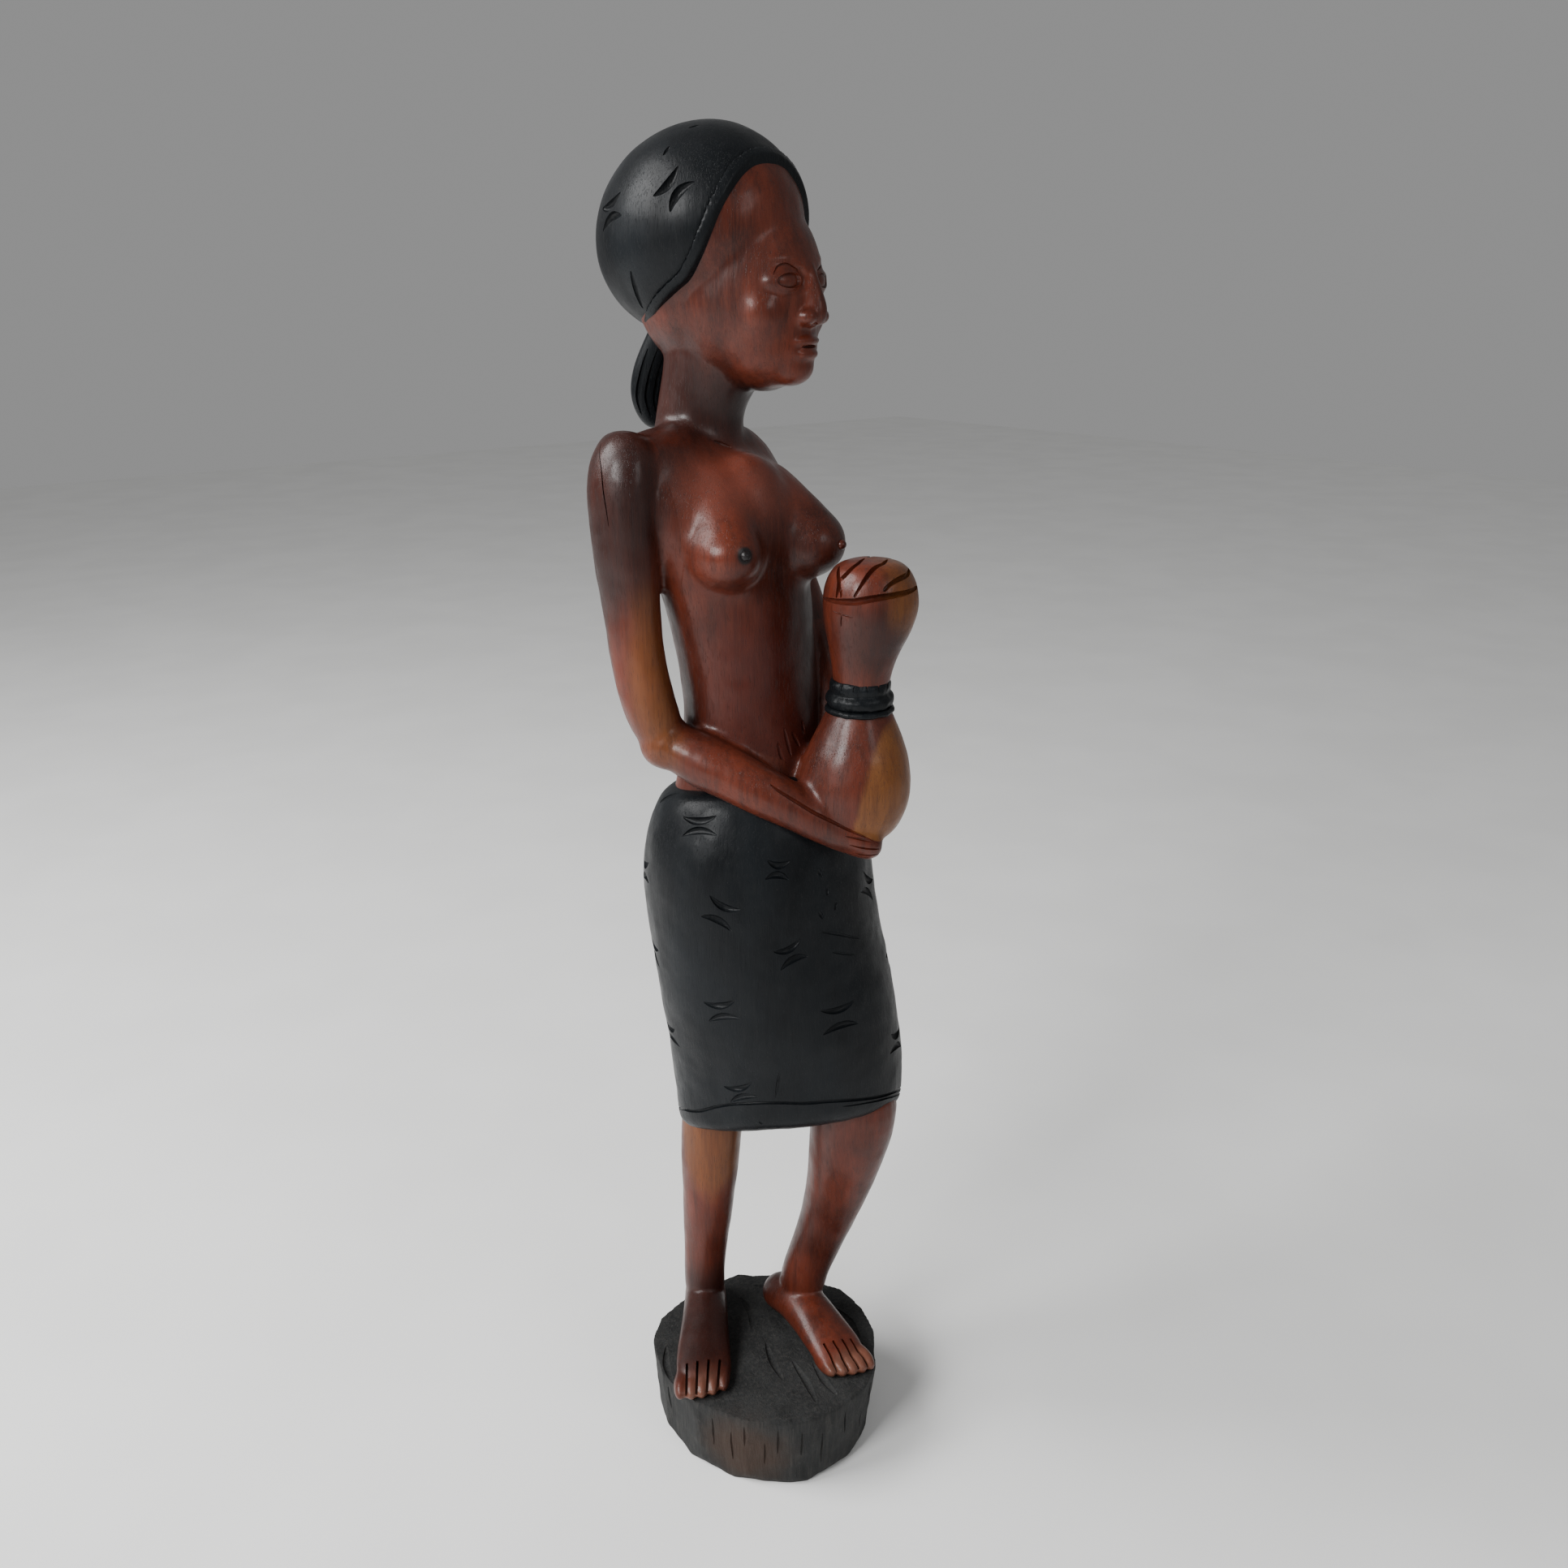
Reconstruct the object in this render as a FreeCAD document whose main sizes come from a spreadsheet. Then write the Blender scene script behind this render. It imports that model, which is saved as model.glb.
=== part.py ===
"""Standing wooden figure of a woman, carved in the round on its own block.

The figure faces -Y, its right side is towards -X and +Z is up. The origin is the centre of the block's
underside. All sizes are millimetres. The carving is divided where the carver's own lines divide it: at
joints of the body, at the edges of the clothes and at the edges of the stained areas.
"""

import FreeCAD, Part
import math
import os
import re

doc = FreeCAD.newDocument("carved_figure")

# ---------------------------------------------------------------- driving dimensions

DIMENSIONS = {
    # block that the figure stands on
    "base_height": 30,
    "base_foot_radius": 38.5,
    "base_girth_radius": 42.5,
    "base_top_radius": 42,
    "base_facets": 11,
    # feet and shins
    "foot_width": 22,
    "ankle_height": 48,
    "ankle_width": 15,
    "ankle_depth": 17,
    "right_ankle_x": -4,
    "right_ankle_y": 28,
    "left_ankle_x": 24,
    "left_ankle_y": 3,
    "calf_height": 90,
    "calf_width": 20,
    "calf_depth": 22,
    "knee_width": 26,
    "knee_depth": 29,
    # wrap skirt
    "body_x": 9,
    "body_y": 12,
    "hem_height": 126,
    "hem_width": 84,
    "hem_depth": 60,
    "hem_rise": 0.42,
    "hem_band_height": 7,
    "hip_height": 212,
    "hip_width": 82,
    "hip_depth": 72,
    "waist_height": 246,
    "waist_rise": 0.30,
    "waist_roll_height": 6,
    # trunk and neck
    "belly_height": 275,
    "belly_width": 48,
    "belly_depth": 38,
    "breast_height": 326,
    "breast_spread": 35,
    "breast_radius": 14,
    "shoulder_height": 350,
    "shoulder_width": 66,
    "shoulder_depth": 34,
    "neck_height": 366,
    "neck_width": 26,
    # head and scarf
    "face_height": 400,
    "face_width": 46,
    "face_depth": 54,
    "jaw_height": 386,
    "scarf_height": 419,
    "scarf_width": 60,
    "scarf_length": 70,
    "scarf_depth": 60,
    "scarf_tip": 25,
    "scarf_edge_angle": 47,
    "scarf_band_width": 4,
    "scarf_band_proud": 1.2,
    # arms
    "arm_width": 18,
    "arm_depth": 22,
    "elbow_height": 266,
    "elbow_width": 18,
    "forearm_width": 15,
    "grip_height": 236,
    "raised_forearm_x": 22,
    "raised_forearm_y": -23,
    "raised_forearm_width": 35,
    "wrist_height": 280,
    "wrist_width": 19,
    "fist_height": 324,
    "fist_width": 29,
    "bracelet_roll": 5.2,
}

sheet = doc.addObject("Spreadsheet::Sheet", "Dims")
for row, (alias, value) in enumerate(DIMENSIONS.items(), start=1):
    sheet.set(f"A{row}", alias)
    sheet.set(f"B{row}", str(value))
    sheet.setAlias(f"B{row}", alias)
doc.recompute()

SIDEWAYS = FreeCAD.Vector(1, 0, 0)
BACKWARDS = FreeCAD.Vector(0, 1, 0)
UP = FreeCAD.Vector(0, 0, 1)


def bound(text):
    """An expression on the sheet's cells: each alias in the text is read from the sheet."""
    return re.sub(r"[a-z][a-z_]+", lambda word: "Dims." + word.group(), str(text))


def size(alias):
    """The value that the sheet holds under an alias."""
    return float(sheet.get(alias))


def bind(piece, **properties):
    """Ties properties of a document object to the sheet; a double underscore stands for a dot."""
    for name, text in properties.items():
        piece.setExpression(name.replace("__", "."), bound(text))


def place(piece, x, y, z):
    """Ties an object's position to the sheet."""
    bind(piece, Placement__Base__x=x, Placement__Base__y=y, Placement__Base__z=z)


def turned(normal, across):
    """The rotation that takes +Z to normal and +X as near to across as the normal leaves it."""
    return FreeCAD.Rotation(across, FreeCAD.Vector(), normal, "ZXY")


def compass(degrees):
    """A level direction, turned from +X towards +Y."""
    return FreeCAD.Vector(math.cos(math.radians(degrees)), math.sin(math.radians(degrees)), 0)


# ---------------------------------------------------------------- ways of making a piece


def oval(name, x, y, z, long_radius, short_radius):
    """One oval section of a piece, flat until it is turned."""
    section = doc.addObject("Part::Ellipse", name)
    bind(section, MajorRadius=long_radius, MinorRadius=short_radius)
    place(section, x, y, z)
    return section


def loft(name, sections):
    """A closed solid skinned through sections."""
    solid = doc.addObject("Part::Loft", name)
    solid.Sections = sections
    solid.Solid = True
    solid.Ruled = False
    return solid


def level_loft(name, stations, long_side=0, normal=UP):
    """A loft through ovals that lie level, or all at one slope. A station is (x, y, z, long radius, short
    radius) and may add its own turn about +Z in degrees."""
    sections = []
    for number, station in enumerate(stations):
        section = oval(f"{name}_{number}", *station[:5])
        turn = station[5] if len(station) > 5 else 0
        section.Placement.Rotation = turned(normal, compass(long_side + turn))
        sections.append(section)
    return loft(name, sections)


def limb(name, stations, long_direction=SIDEWAYS):
    """A loft through ovals that stand square to the line through their centres."""
    sections = [oval(f"{name}_{number}", *station) for number, station in enumerate(stations)]
    doc.recompute()
    centres = [section.Placement.Base for section in sections]
    for number, section in enumerate(sections):
        before = centres[max(number - 1, 0)]
        after = centres[min(number + 1, len(centres) - 1)]
        section.Placement.Rotation = turned(after - before, long_direction)
    return loft(name, sections)


def ellipsoid(name, x, y, z, across, deep, tall, turn=0, tip=0):
    """A whole ellipsoid with three half sizes, tipped about its own sideways axis, then turned about +Z."""
    solid = doc.addObject("Part::Ellipsoid", name)
    solid.Angle1 = -90
    bind(solid, Radius2=across, Radius3=deep, Radius1=tall)
    place(solid, x, y, z)
    solid.Placement.Rotation = FreeCAD.Rotation(UP, turn) * FreeCAD.Rotation(SIDEWAYS, tip)
    return solid


def ball(name, x, y, z, radius):
    """A sphere."""
    solid = doc.addObject("Part::Sphere", name)
    bind(solid, Radius=radius)
    place(solid, x, y, z)
    return solid


def slab(name, point, normal, thickness, reach=140):
    """A wide flat box that starts at a point and runs along a normal for a thickness."""
    box = doc.addObject("Part::Box", name)
    box.Length = box.Width = reach
    box.Height = thickness
    rotation = turned(normal, SIDEWAYS)
    corner = rotation.multVec(FreeCAD.Vector(-reach / 2, -reach / 2, 0))
    box.Placement = FreeCAD.Placement(point + corner, rotation)
    return box


def cut(name, base, *tools):
    """base with the tools taken off it."""
    result = base
    for number, tool in enumerate(tools, start=1):
        step = doc.addObject("Part::Cut", f"{name}_less_{number}")
        step.Base = result
        step.Tool = tool
        result = step
    return result


def common(name, base, tool):
    """What base and tool share."""
    shared = doc.addObject("Part::Common", name)
    shared.Base = base
    shared.Tool = tool
    return shared


def fuse(name, *solids):
    """Several solids as one."""
    joined = doc.addObject("Part::MultiFuse", name)
    joined.Shapes = list(solids)
    return joined


# ---------------------------------------------------------------- block

facet_rings = []
for ring, (height, radius) in enumerate(
    [
        ("0", "base_foot_radius"),
        ("base_height * 0.45", "base_girth_radius"),
        ("base_height", "base_top_radius"),
    ]
):
    outline = doc.addObject("Part::RegularPolygon", f"block_ring_{ring}")
    bind(outline, Polygon="base_facets", Circumradius=radius)
    place(outline, "0", "0", height)
    facet_rings.append(outline)
base_block = loft("block", facet_rings)
base_block.Ruled = True

# ---------------------------------------------------------------- feet and shins

right_foot_blank = limb(
    "right_foot_blank",
    [
        ("right_ankle_x + 7", "right_ankle_y + 10", "base_height + 6.5", "foot_width * 0.32", "6.6"),
        ("right_ankle_x", "right_ankle_y", "base_height + 9", "foot_width * 0.38", "8.2"),
        ("right_ankle_x - 12", "right_ankle_y - 15", "base_height + 6", "foot_width * 0.43", "6"),
        ("right_ankle_x - 21", "right_ankle_y - 26", "base_height + 3.5", "foot_width * 0.5", "4.2"),
        ("right_ankle_x - 29", "right_ankle_y - 36", "base_height + 2.5", "foot_width * 0.46", "3"),
    ],
)
left_foot_blank = limb(
    "left_foot_blank",
    [
        ("left_ankle_x - 4", "left_ankle_y + 18", "base_height + 6", "foot_width * 0.32", "6"),
        ("left_ankle_x - 4", "left_ankle_y + 6", "base_height + 9", "foot_width * 0.39", "8.2"),
        ("left_ankle_x - 5", "left_ankle_y - 8", "base_height + 7", "foot_width * 0.43", "7"),
        ("left_ankle_x - 7", "left_ankle_y - 23", "base_height + 4", "foot_width * 0.48", "5"),
        ("left_ankle_x - 9", "left_ankle_y - 36", "base_height + 2.5", "foot_width * 0.44", "3.6"),
    ],
)
right_foot = cut("right_foot", right_foot_blank, base_block)
left_foot = cut("left_foot", left_foot_blank, base_block)

right_shin_blank = level_loft(
    "right_shin_blank",
    [
        ("right_ankle_x", "right_ankle_y", "base_height + 6", "ankle_depth * 0.48", "ankle_width * 0.5"),
        ("right_ankle_x", "right_ankle_y", "ankle_height", "ankle_depth / 2", "ankle_width / 2"),
        (
            "right_ankle_x", "right_ankle_y - 1", "ankle_height + 13",
            "ankle_depth * 0.54", "ankle_width * 0.53",
        ),
        ("right_ankle_x", "right_ankle_y - 3", "calf_height - 8", "calf_depth * 0.48", "calf_width * 0.46"),
        (
            "right_ankle_x - 1", "right_ankle_y - 6", "calf_height + 12",
            "calf_depth * 0.53", "calf_width * 0.53",
        ),
        (
            "right_ankle_x - 2", "right_ankle_y - 9", "hem_height + 6",
            "calf_depth * 0.56", "calf_width * 0.55",
        ),
    ],
    long_side=90,
)
left_shin_blank = level_loft(
    "left_shin_blank",
    [
        (
            "left_ankle_x - 2", "left_ankle_y + 2", "base_height + 8",
            "ankle_depth * 0.53", "ankle_width * 0.58",
        ),
        ("left_ankle_x", "left_ankle_y", "ankle_height + 4", "ankle_depth * 0.54", "ankle_width * 0.56"),
        (
            "left_ankle_x + 1", "left_ankle_y - 4", "ankle_height + 18",
            "ankle_depth * 0.6", "ankle_width * 0.6",
        ),
        (
            "left_ankle_x + 2", "left_ankle_y - 9", "calf_height - 6",
            "calf_depth * 0.55", "calf_width * 0.53",
        ),
        (
            "left_ankle_x + 3", "left_ankle_y - 14", "calf_height + 12",
            "knee_depth * 0.49", "knee_width * 0.48",
        ),
        (
            "left_ankle_x + 4", "left_ankle_y - 20", "hem_height + 8",
            "knee_depth * 0.56", "knee_width * 0.57",
        ),
    ],
    long_side=90,
)

# ---------------------------------------------------------------- wrap skirt

# The hem and the waist both rise towards the front; the hem's long side follows the line of the knees.
HEM_SLOPE = FreeCAD.Vector(0.12, size("hem_rise"), 1)
WAIST_SLOPE = FreeCAD.Vector(0, size("waist_rise"), 1)
skirt_sections = []
for number, (x, y, z, wide, deep, turn, slope) in enumerate(
    [
        ("body_x + 2", "body_y - 11", "hem_height", "hem_width / 2", "hem_depth / 2", -40, HEM_SLOPE),
        ("body_x + 2", "body_y - 11", "hem_height + 16", "hem_width * 0.5", "hem_depth / 2", -38, HEM_SLOPE),
        (
            "body_x + 1", "body_y - 8", "hip_height - 47",
            "hip_width * 0.5", "hip_depth * 0.44", -30, WAIST_SLOPE,
        ),
        (
            "body_x", "body_y - 4", "hip_height - 22",
            "hip_width * 0.495", "hip_depth * 0.47", -10, WAIST_SLOPE,
        ),
        ("body_x", "body_y - 1", "hip_height", "hip_width / 2", "hip_depth / 2", 0, WAIST_SLOPE),
        ("body_x", "body_y", "hip_height + 18", "hip_width * 0.465", "hip_depth * 0.46", 0, WAIST_SLOPE),
        ("body_x + 1", "body_y + 1", "waist_height", "hip_width * 0.38", "hip_depth * 0.37", 0, WAIST_SLOPE),
    ]
):
    section = oval(f"skirt_{number}", x, y, z, wide, deep)
    section.Placement.Rotation = turned(slope, compass(turn))
    skirt_sections.append(section)
skirt_blank = loft("skirt_blank", skirt_sections)

hem_point = FreeCAD.Vector(size("body_x"), size("body_y") - 13, size("hem_height") + size("hem_band_height"))
waist_point = FreeCAD.Vector(
    size("body_x"), size("body_y"), size("waist_height") - size("waist_roll_height")
)
below_band = slab("below_hem_line", hem_point, -HEM_SLOPE, 60)
above_roll = slab("above_waist_line", waist_point, WAIST_SLOPE, 60)
skirt_hem_band = common("hem_band", skirt_blank, below_band)
skirt_waist_roll = common("waist_roll", skirt_blank, above_roll)
skirt = cut("skirt_body", skirt_blank, below_band, above_roll)

right_shin = cut("right_shin", right_shin_blank, right_foot_blank, skirt_blank)
left_shin = cut("left_shin", left_shin_blank, left_foot_blank, skirt_blank)

# ---------------------------------------------------------------- trunk and neck

TRUNK_TURN = 10
trunk = level_loft(
    "trunk",
    [
        ("body_x + 1", "body_y + 1", "waist_height - 6", "belly_width * 0.58", "belly_depth * 0.58"),
        ("body_x + 1", "body_y + 1", "waist_height + 10", "belly_width * 0.52", "belly_depth * 0.52"),
        ("body_x", "body_y + 2", "belly_height", "belly_width / 2", "belly_depth / 2", 4),
        ("body_x - 1", "body_y + 4", "belly_height + 20", "belly_width * 0.52", "belly_depth * 0.53", 6),
        (
            "body_x - 3", "body_y + 6", "breast_height - 11",
            "shoulder_width * 0.42", "shoulder_depth * 0.62", 8,
        ),
        (
            "body_x - 6", "body_y + 10", "breast_height + 9",
            "shoulder_width * 0.47", "shoulder_depth * 0.59", 10,
        ),
        ("body_x - 8", "body_y + 14", "shoulder_height", "shoulder_width / 2", "shoulder_depth / 2", 12),
        (
            "body_x - 8", "body_y + 17", "shoulder_height + 10",
            "shoulder_width * 0.41", "shoulder_depth * 0.38", 12,
        ),
        ("body_x - 7", "body_y + 19", "neck_height", "neck_width * 0.6", "neck_width * 0.46", 12),
    ],
)
breasts = [
    ellipsoid(
        f"{side}_breast",
        f"body_x - 2.5 {sign} breast_spread / 2",
        "body_y - 8",
        "breast_height",
        "breast_radius",
        "breast_radius * 1.15",
        "breast_radius",
        turn=TRUNK_TURN,
    )
    for side, sign in (("right", "-"), ("left", "+"))
]
torso = cut("torso", fuse("trunk_and_breasts", trunk, *breasts), skirt_blank)

neck_blank = limb(
    "neck_blank",
    [
        ("body_x - 8", "body_y + 16", "neck_height - 14", "neck_width * 0.6", "neck_width * 0.5"),
        ("body_x - 8", "body_y + 18", "neck_height", "neck_width / 2", "neck_width * 0.49"),
        ("body_x - 5", "body_y + 17", "jaw_height", "neck_width * 0.54", "neck_width * 0.53"),
    ],
)

# ---------------------------------------------------------------- head and scarf

HEAD_TURN = 8
face_blank = fuse(
    "face_blank",
    ellipsoid(
        "face_oval", "body_x", "body_y + 7", "face_height", "face_width / 2", "face_depth / 2",
        "face_depth / 2", turn=HEAD_TURN,
    ),
    ellipsoid(
        "jaw_oval", "body_x + 2", "body_y + 1", "jaw_height + 1", "face_width * 0.38", "face_depth * 0.36",
        "face_depth * 0.23", turn=HEAD_TURN, tip=15,
    ),
    ellipsoid(
        "brow_oval", "body_x + 2", "body_y + 1", "face_height + 18", "face_width * 0.44",
        "face_depth * 0.36", "face_depth * 0.44", turn=HEAD_TURN,
    ),
    limb(
        "nose",
        [
            ("body_x + 3.6", "body_y - 14", "face_height + 16", "2.4", "2"),
            ("body_x + 4", "body_y - 20", "face_height + 6", "3.4", "3"),
            ("body_x + 4.4", "body_y - 21", "face_height - 2", "4.6", "3.4"),
        ],
    ),
)
scarf_place = ("body_x - 5", "body_y + 19", "scarf_height")
scarf_blank = ellipsoid(
    "scarf_blank", *scarf_place, "scarf_width / 2", "scarf_length / 2", "scarf_depth / 2",
    turn=HEAD_TURN, tip=-size("scarf_tip"),
)
band_blank = ellipsoid(
    "band_blank", *scarf_place, "scarf_width / 2 + scarf_band_proud", "scarf_length / 2 + scarf_band_proud",
    "scarf_depth / 2 + scarf_band_proud", turn=HEAD_TURN, tip=-size("scarf_tip"),
)

# The scarf's front edge is a plane that runs from the top of the forehead down and back to the nape.
edge_fall = math.radians(size("scarf_edge_angle"))
facing = FreeCAD.Rotation(UP, HEAD_TURN).multVec(-BACKWARDS)
front_of_edge = facing * math.sin(edge_fall) - UP * math.cos(edge_fall)
forehead = FreeCAD.Vector(size("body_x") + 3, size("body_y") - 14, size("face_height") + 41)
front_space = slab("front_of_scarf", forehead, front_of_edge, 120, reach=240)
band_slice = slab("band_slice", forehead, -front_of_edge, size("scarf_band_width"), reach=240)
behind_edge = slab("behind_edge", forehead, -front_of_edge, 120, reach=240)
headscarf = cut("headscarf", scarf_blank, front_space, band_slice)
headscarf_band = common("scarf_band", band_blank, band_slice)

head = cut("head", face_blank, behind_edge)
neck = cut("neck", neck_blank, torso, head, headscarf, headscarf_band)

tail_blank = limb(
    "tail_blank",
    [
        ("body_x - 8", "body_y + 31", "scarf_height - 26", "5", "3"),
        ("body_x - 8.5", "body_y + 35", "scarf_height - 37", "8", "5"),
        ("body_x - 9", "body_y + 37", "scarf_height - 48", "8.5", "5.5"),
        ("body_x - 9", "body_y + 36", "scarf_height - 58", "4.5", "3"),
    ],
)
scarf_tail = cut("scarf_tail", tail_blank, headscarf, headscarf_band, neck_blank, torso)

# ---------------------------------------------------------------- right arm, laid across the belly

right_upper_arm_blank = limb(
    "right_upper_arm_blank",
    [
        ("body_x - 40", "body_y + 12", "shoulder_height + 9", "arm_depth * 0.42", "arm_width * 0.42"),
        ("body_x - 41", "body_y + 12", "shoulder_height - 3", "arm_depth * 0.57", "arm_width * 0.55"),
        ("body_x - 39.5", "body_y + 10", "breast_height - 6", "arm_depth / 2", "arm_width / 2"),
        ("body_x - 37.5", "body_y + 7", "elbow_height + 31", "arm_depth * 0.43", "arm_width * 0.46"),
        ("body_x - 35", "body_y + 4", "elbow_height + 13", "elbow_width / 2", "elbow_width * 0.47"),
        ("body_x - 32", "body_y + 1", "elbow_height", "elbow_width / 2", "elbow_width / 2"),
    ],
    long_direction=BACKWARDS,
)
right_shoulder = ball(
    "right_shoulder", "body_x - 38", "body_y + 13", "shoulder_height + 4", "arm_width * 0.5"
)
right_elbow = ball("right_elbow", "body_x - 33", "body_y + 2", "elbow_height + 2", "elbow_width * 0.47")
right_upper_arm_round = fuse("right_upper_arm_round", right_upper_arm_blank, right_shoulder, right_elbow)
right_forearm_blank = limb(
    "right_forearm_blank",
    [
        ("body_x - 35", "body_y + 5", "elbow_height + 3", "elbow_width / 2", "elbow_width / 2"),
        ("body_x - 25", "body_y - 13", "elbow_height - 5", "forearm_width * 0.57", "forearm_width * 0.56"),
        ("body_x - 13", "body_y - 27", "elbow_height - 14", "forearm_width / 2", "forearm_width / 2"),
        ("body_x + 2", "body_y - 38", "grip_height + 6", "forearm_width * 0.44", "forearm_width * 0.42"),
    ],
    long_direction=UP,
)
right_hand_blank = limb(
    "right_hand_blank",
    [
        ("body_x - 6", "body_y - 32", "grip_height + 10", "forearm_width * 0.3", "forearm_width * 0.28"),
        ("body_x - 1", "body_y - 35.5", "grip_height + 7", "forearm_width * 0.4", "forearm_width * 0.38"),
        ("body_x + 7", "body_y - 40", "grip_height + 2", "forearm_width * 0.56", "forearm_width * 0.34"),
        ("body_x + 18", "body_y - 43", "grip_height - 1", "forearm_width * 0.56", "forearm_width * 0.3"),
        ("body_x + 26", "body_y - 43", "grip_height + 1", "forearm_width * 0.4", "forearm_width * 0.22"),
    ],
)

# ---------------------------------------------------------------- left arm, fist raised

left_shoulder = ball(
    "left_shoulder", "body_x + 21", "body_y + 23", "shoulder_height + 2", "arm_width * 0.46"
)
left_upper_arm_blank = limb(
    "left_upper_arm_blank",
    [
        ("body_x + 22", "body_y + 24", "shoulder_height + 5", "arm_depth * 0.4", "arm_width * 0.4"),
        ("body_x + 24", "body_y + 22", "shoulder_height - 12", "arm_depth * 0.52", "arm_width * 0.5"),
        ("body_x + 27", "body_y + 13", "breast_height - 16", "arm_depth * 0.46", "arm_width * 0.47"),
        ("body_x + 28", "body_y + 1", "elbow_height + 19", "arm_depth * 0.42", "arm_width * 0.47"),
        ("body_x + 23", "body_y - 16", "elbow_height - 6", "elbow_width / 2", "elbow_width / 2"),
        ("body_x + 16", "body_y - 27", "grip_height + 10", "elbow_width * 0.5", "elbow_width * 0.5"),
    ],
    long_direction=BACKWARDS,
)
raised_forearm = ("raised_forearm_x", "raised_forearm_y")
left_forearm_blank = level_loft(
    "left_forearm_blank",
    [
        (*raised_forearm, "grip_height", "raised_forearm_width * 0.3", "raised_forearm_width * 0.29"),
        (*raised_forearm, "grip_height + 10", "raised_forearm_width * 0.48", "raised_forearm_width * 0.47"),
        (*raised_forearm, "grip_height + 20", "raised_forearm_width * 0.5", "raised_forearm_width * 0.49"),
        (*raised_forearm, "grip_height + 30", "raised_forearm_width * 0.43", "raised_forearm_width * 0.42"),
        (*raised_forearm, "wrist_height", "wrist_width * 0.56", "wrist_width * 0.54"),
    ],
    long_side=30,
)
left_fist_blank = level_loft(
    "left_fist_blank",
    [
        ("raised_forearm_x", "raised_forearm_y", "wrist_height", "wrist_width * 0.47", "wrist_width * 0.46"),
        (
            "raised_forearm_x + 0.5", "raised_forearm_y", "wrist_height + 10",
            "wrist_width * 0.5", "wrist_width * 0.49",
        ),
        (
            "raised_forearm_x + 1", "raised_forearm_y - 1", "wrist_height + 17",
            "fist_width * 0.41", "fist_width * 0.4",
        ),
        (
            "raised_forearm_x + 2", "raised_forearm_y - 1", "fist_height - 19",
            "fist_width * 0.49", "fist_width * 0.48",
        ),
        (
            "raised_forearm_x + 2", "raised_forearm_y - 1", "fist_height - 8",
            "fist_width * 0.51", "fist_width * 0.5",
        ),
        (
            "raised_forearm_x + 2", "raised_forearm_y - 1", "fist_height",
            "fist_width * 0.32", "fist_width * 0.31",
        ),
    ],
)
bracelet_blanks = []
for name, lift, roll in (
    ("lower_roll", "1.4", "bracelet_roll * 0.27"),
    ("upper_roll", "5.4", "bracelet_roll / 2"),
):
    ring = doc.addObject("Part::Torus", name)
    bind(ring, Radius1="wrist_width * 0.5", Radius2=roll)
    place(ring, "raised_forearm_x + 0.3", "raised_forearm_y", f"wrist_height + {lift}")
    bracelet_blanks.append(ring)

trunk_and_skirt = fuse("trunk_and_skirt", torso, skirt_blank)
left_forearm = cut("left_forearm", left_forearm_blank, trunk_and_skirt)
left_upper_arm_round = fuse("left_upper_arm_round", left_upper_arm_blank, left_shoulder)
left_upper_arm = cut("left_upper_arm", left_upper_arm_round, trunk_and_skirt, left_forearm_blank)
right_upper_arm = cut("right_upper_arm", right_upper_arm_round, torso)

# The hand begins at a plane across the right wrist and cups the left elbow from below.
wrist = FreeCAD.Vector(size("body_x") - 2, size("body_y") - 35, size("grip_height") + 8)
past_wrist = slab("past_wrist", wrist, FreeCAD.Vector(11, -8, -7), 60)
right_forearm = cut(
    "right_forearm",
    right_forearm_blank,
    past_wrist,
    right_upper_arm_round,
    trunk_and_skirt,
    left_forearm_blank,
)
hand_past_wrist = common("hand_past_wrist", right_hand_blank, past_wrist)
right_hand = cut("right_hand", hand_past_wrist, trunk_and_skirt, left_forearm_blank)
left_fist = cut("left_fist", left_fist_blank, trunk_and_skirt)
bracelet_ring = cut("bracelet_ring", bracelet_blanks[1], left_fist_blank, left_forearm_blank, torso)
bracelet_lower_ring = cut(
    "bracelet_lower_ring", bracelet_blanks[0], left_fist_blank, left_forearm_blank, bracelet_blanks[1], torso
)

# ---------------------------------------------------------------- checks and export

NODES = {
    "base_block": base_block,
    "right_foot": right_foot,
    "left_foot": left_foot,
    "right_shin": right_shin,
    "left_shin": left_shin,
    "skirt": skirt,
    "skirt_hem_band": skirt_hem_band,
    "skirt_waist_roll": skirt_waist_roll,
    "torso": torso,
    "neck": neck,
    "head": head,
    "headscarf": headscarf,
    "headscarf_band": headscarf_band,
    "headscarf_tail": scarf_tail,
    "right_upper_arm": right_upper_arm,
    "right_forearm": right_forearm,
    "right_hand": right_hand,
    "left_upper_arm": left_upper_arm,
    "left_forearm": left_forearm,
    "left_fist": left_fist,
    "bracelet_ring": bracelet_ring,
    "bracelet_lower_ring": bracelet_lower_ring,
}

doc.recompute()
failed = [piece.Name for piece in doc.Objects if {"Invalid", "Error"} & set(piece.State)]
if failed:
    raise SystemExit(f"these objects failed to recompute: {failed}")

os.makedirs("parts", exist_ok=True)
for label, piece in NODES.items():
    piece.Label = label
    shape = piece.Shape
    if shape.isNull() or not shape.isValid() or not shape.Solids:
        raise SystemExit(f"{label} has no valid solid")
    print(f"{label}: {len(shape.Solids)} solid, {shape.Volume / 1000:.2f} cm3")
for label, piece in NODES.items():
    piece.Shape.exportStep(os.path.join("parts", label + ".step"))
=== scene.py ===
"""A standing figure of a woman, carved with its own block from one log of reddish hardwood.

The bare wood is polished, the clothes and the bracelet are stained black and polished, and the block is
stained and left rough. Each part of the body is roughed out, blended into its neighbours, smoothed, and
then parted at the joint of the body where it belongs. Gouge and knife cuts come last, as in carving.
"""

import math

import bpy
from mathutils import Matrix, Vector


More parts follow.
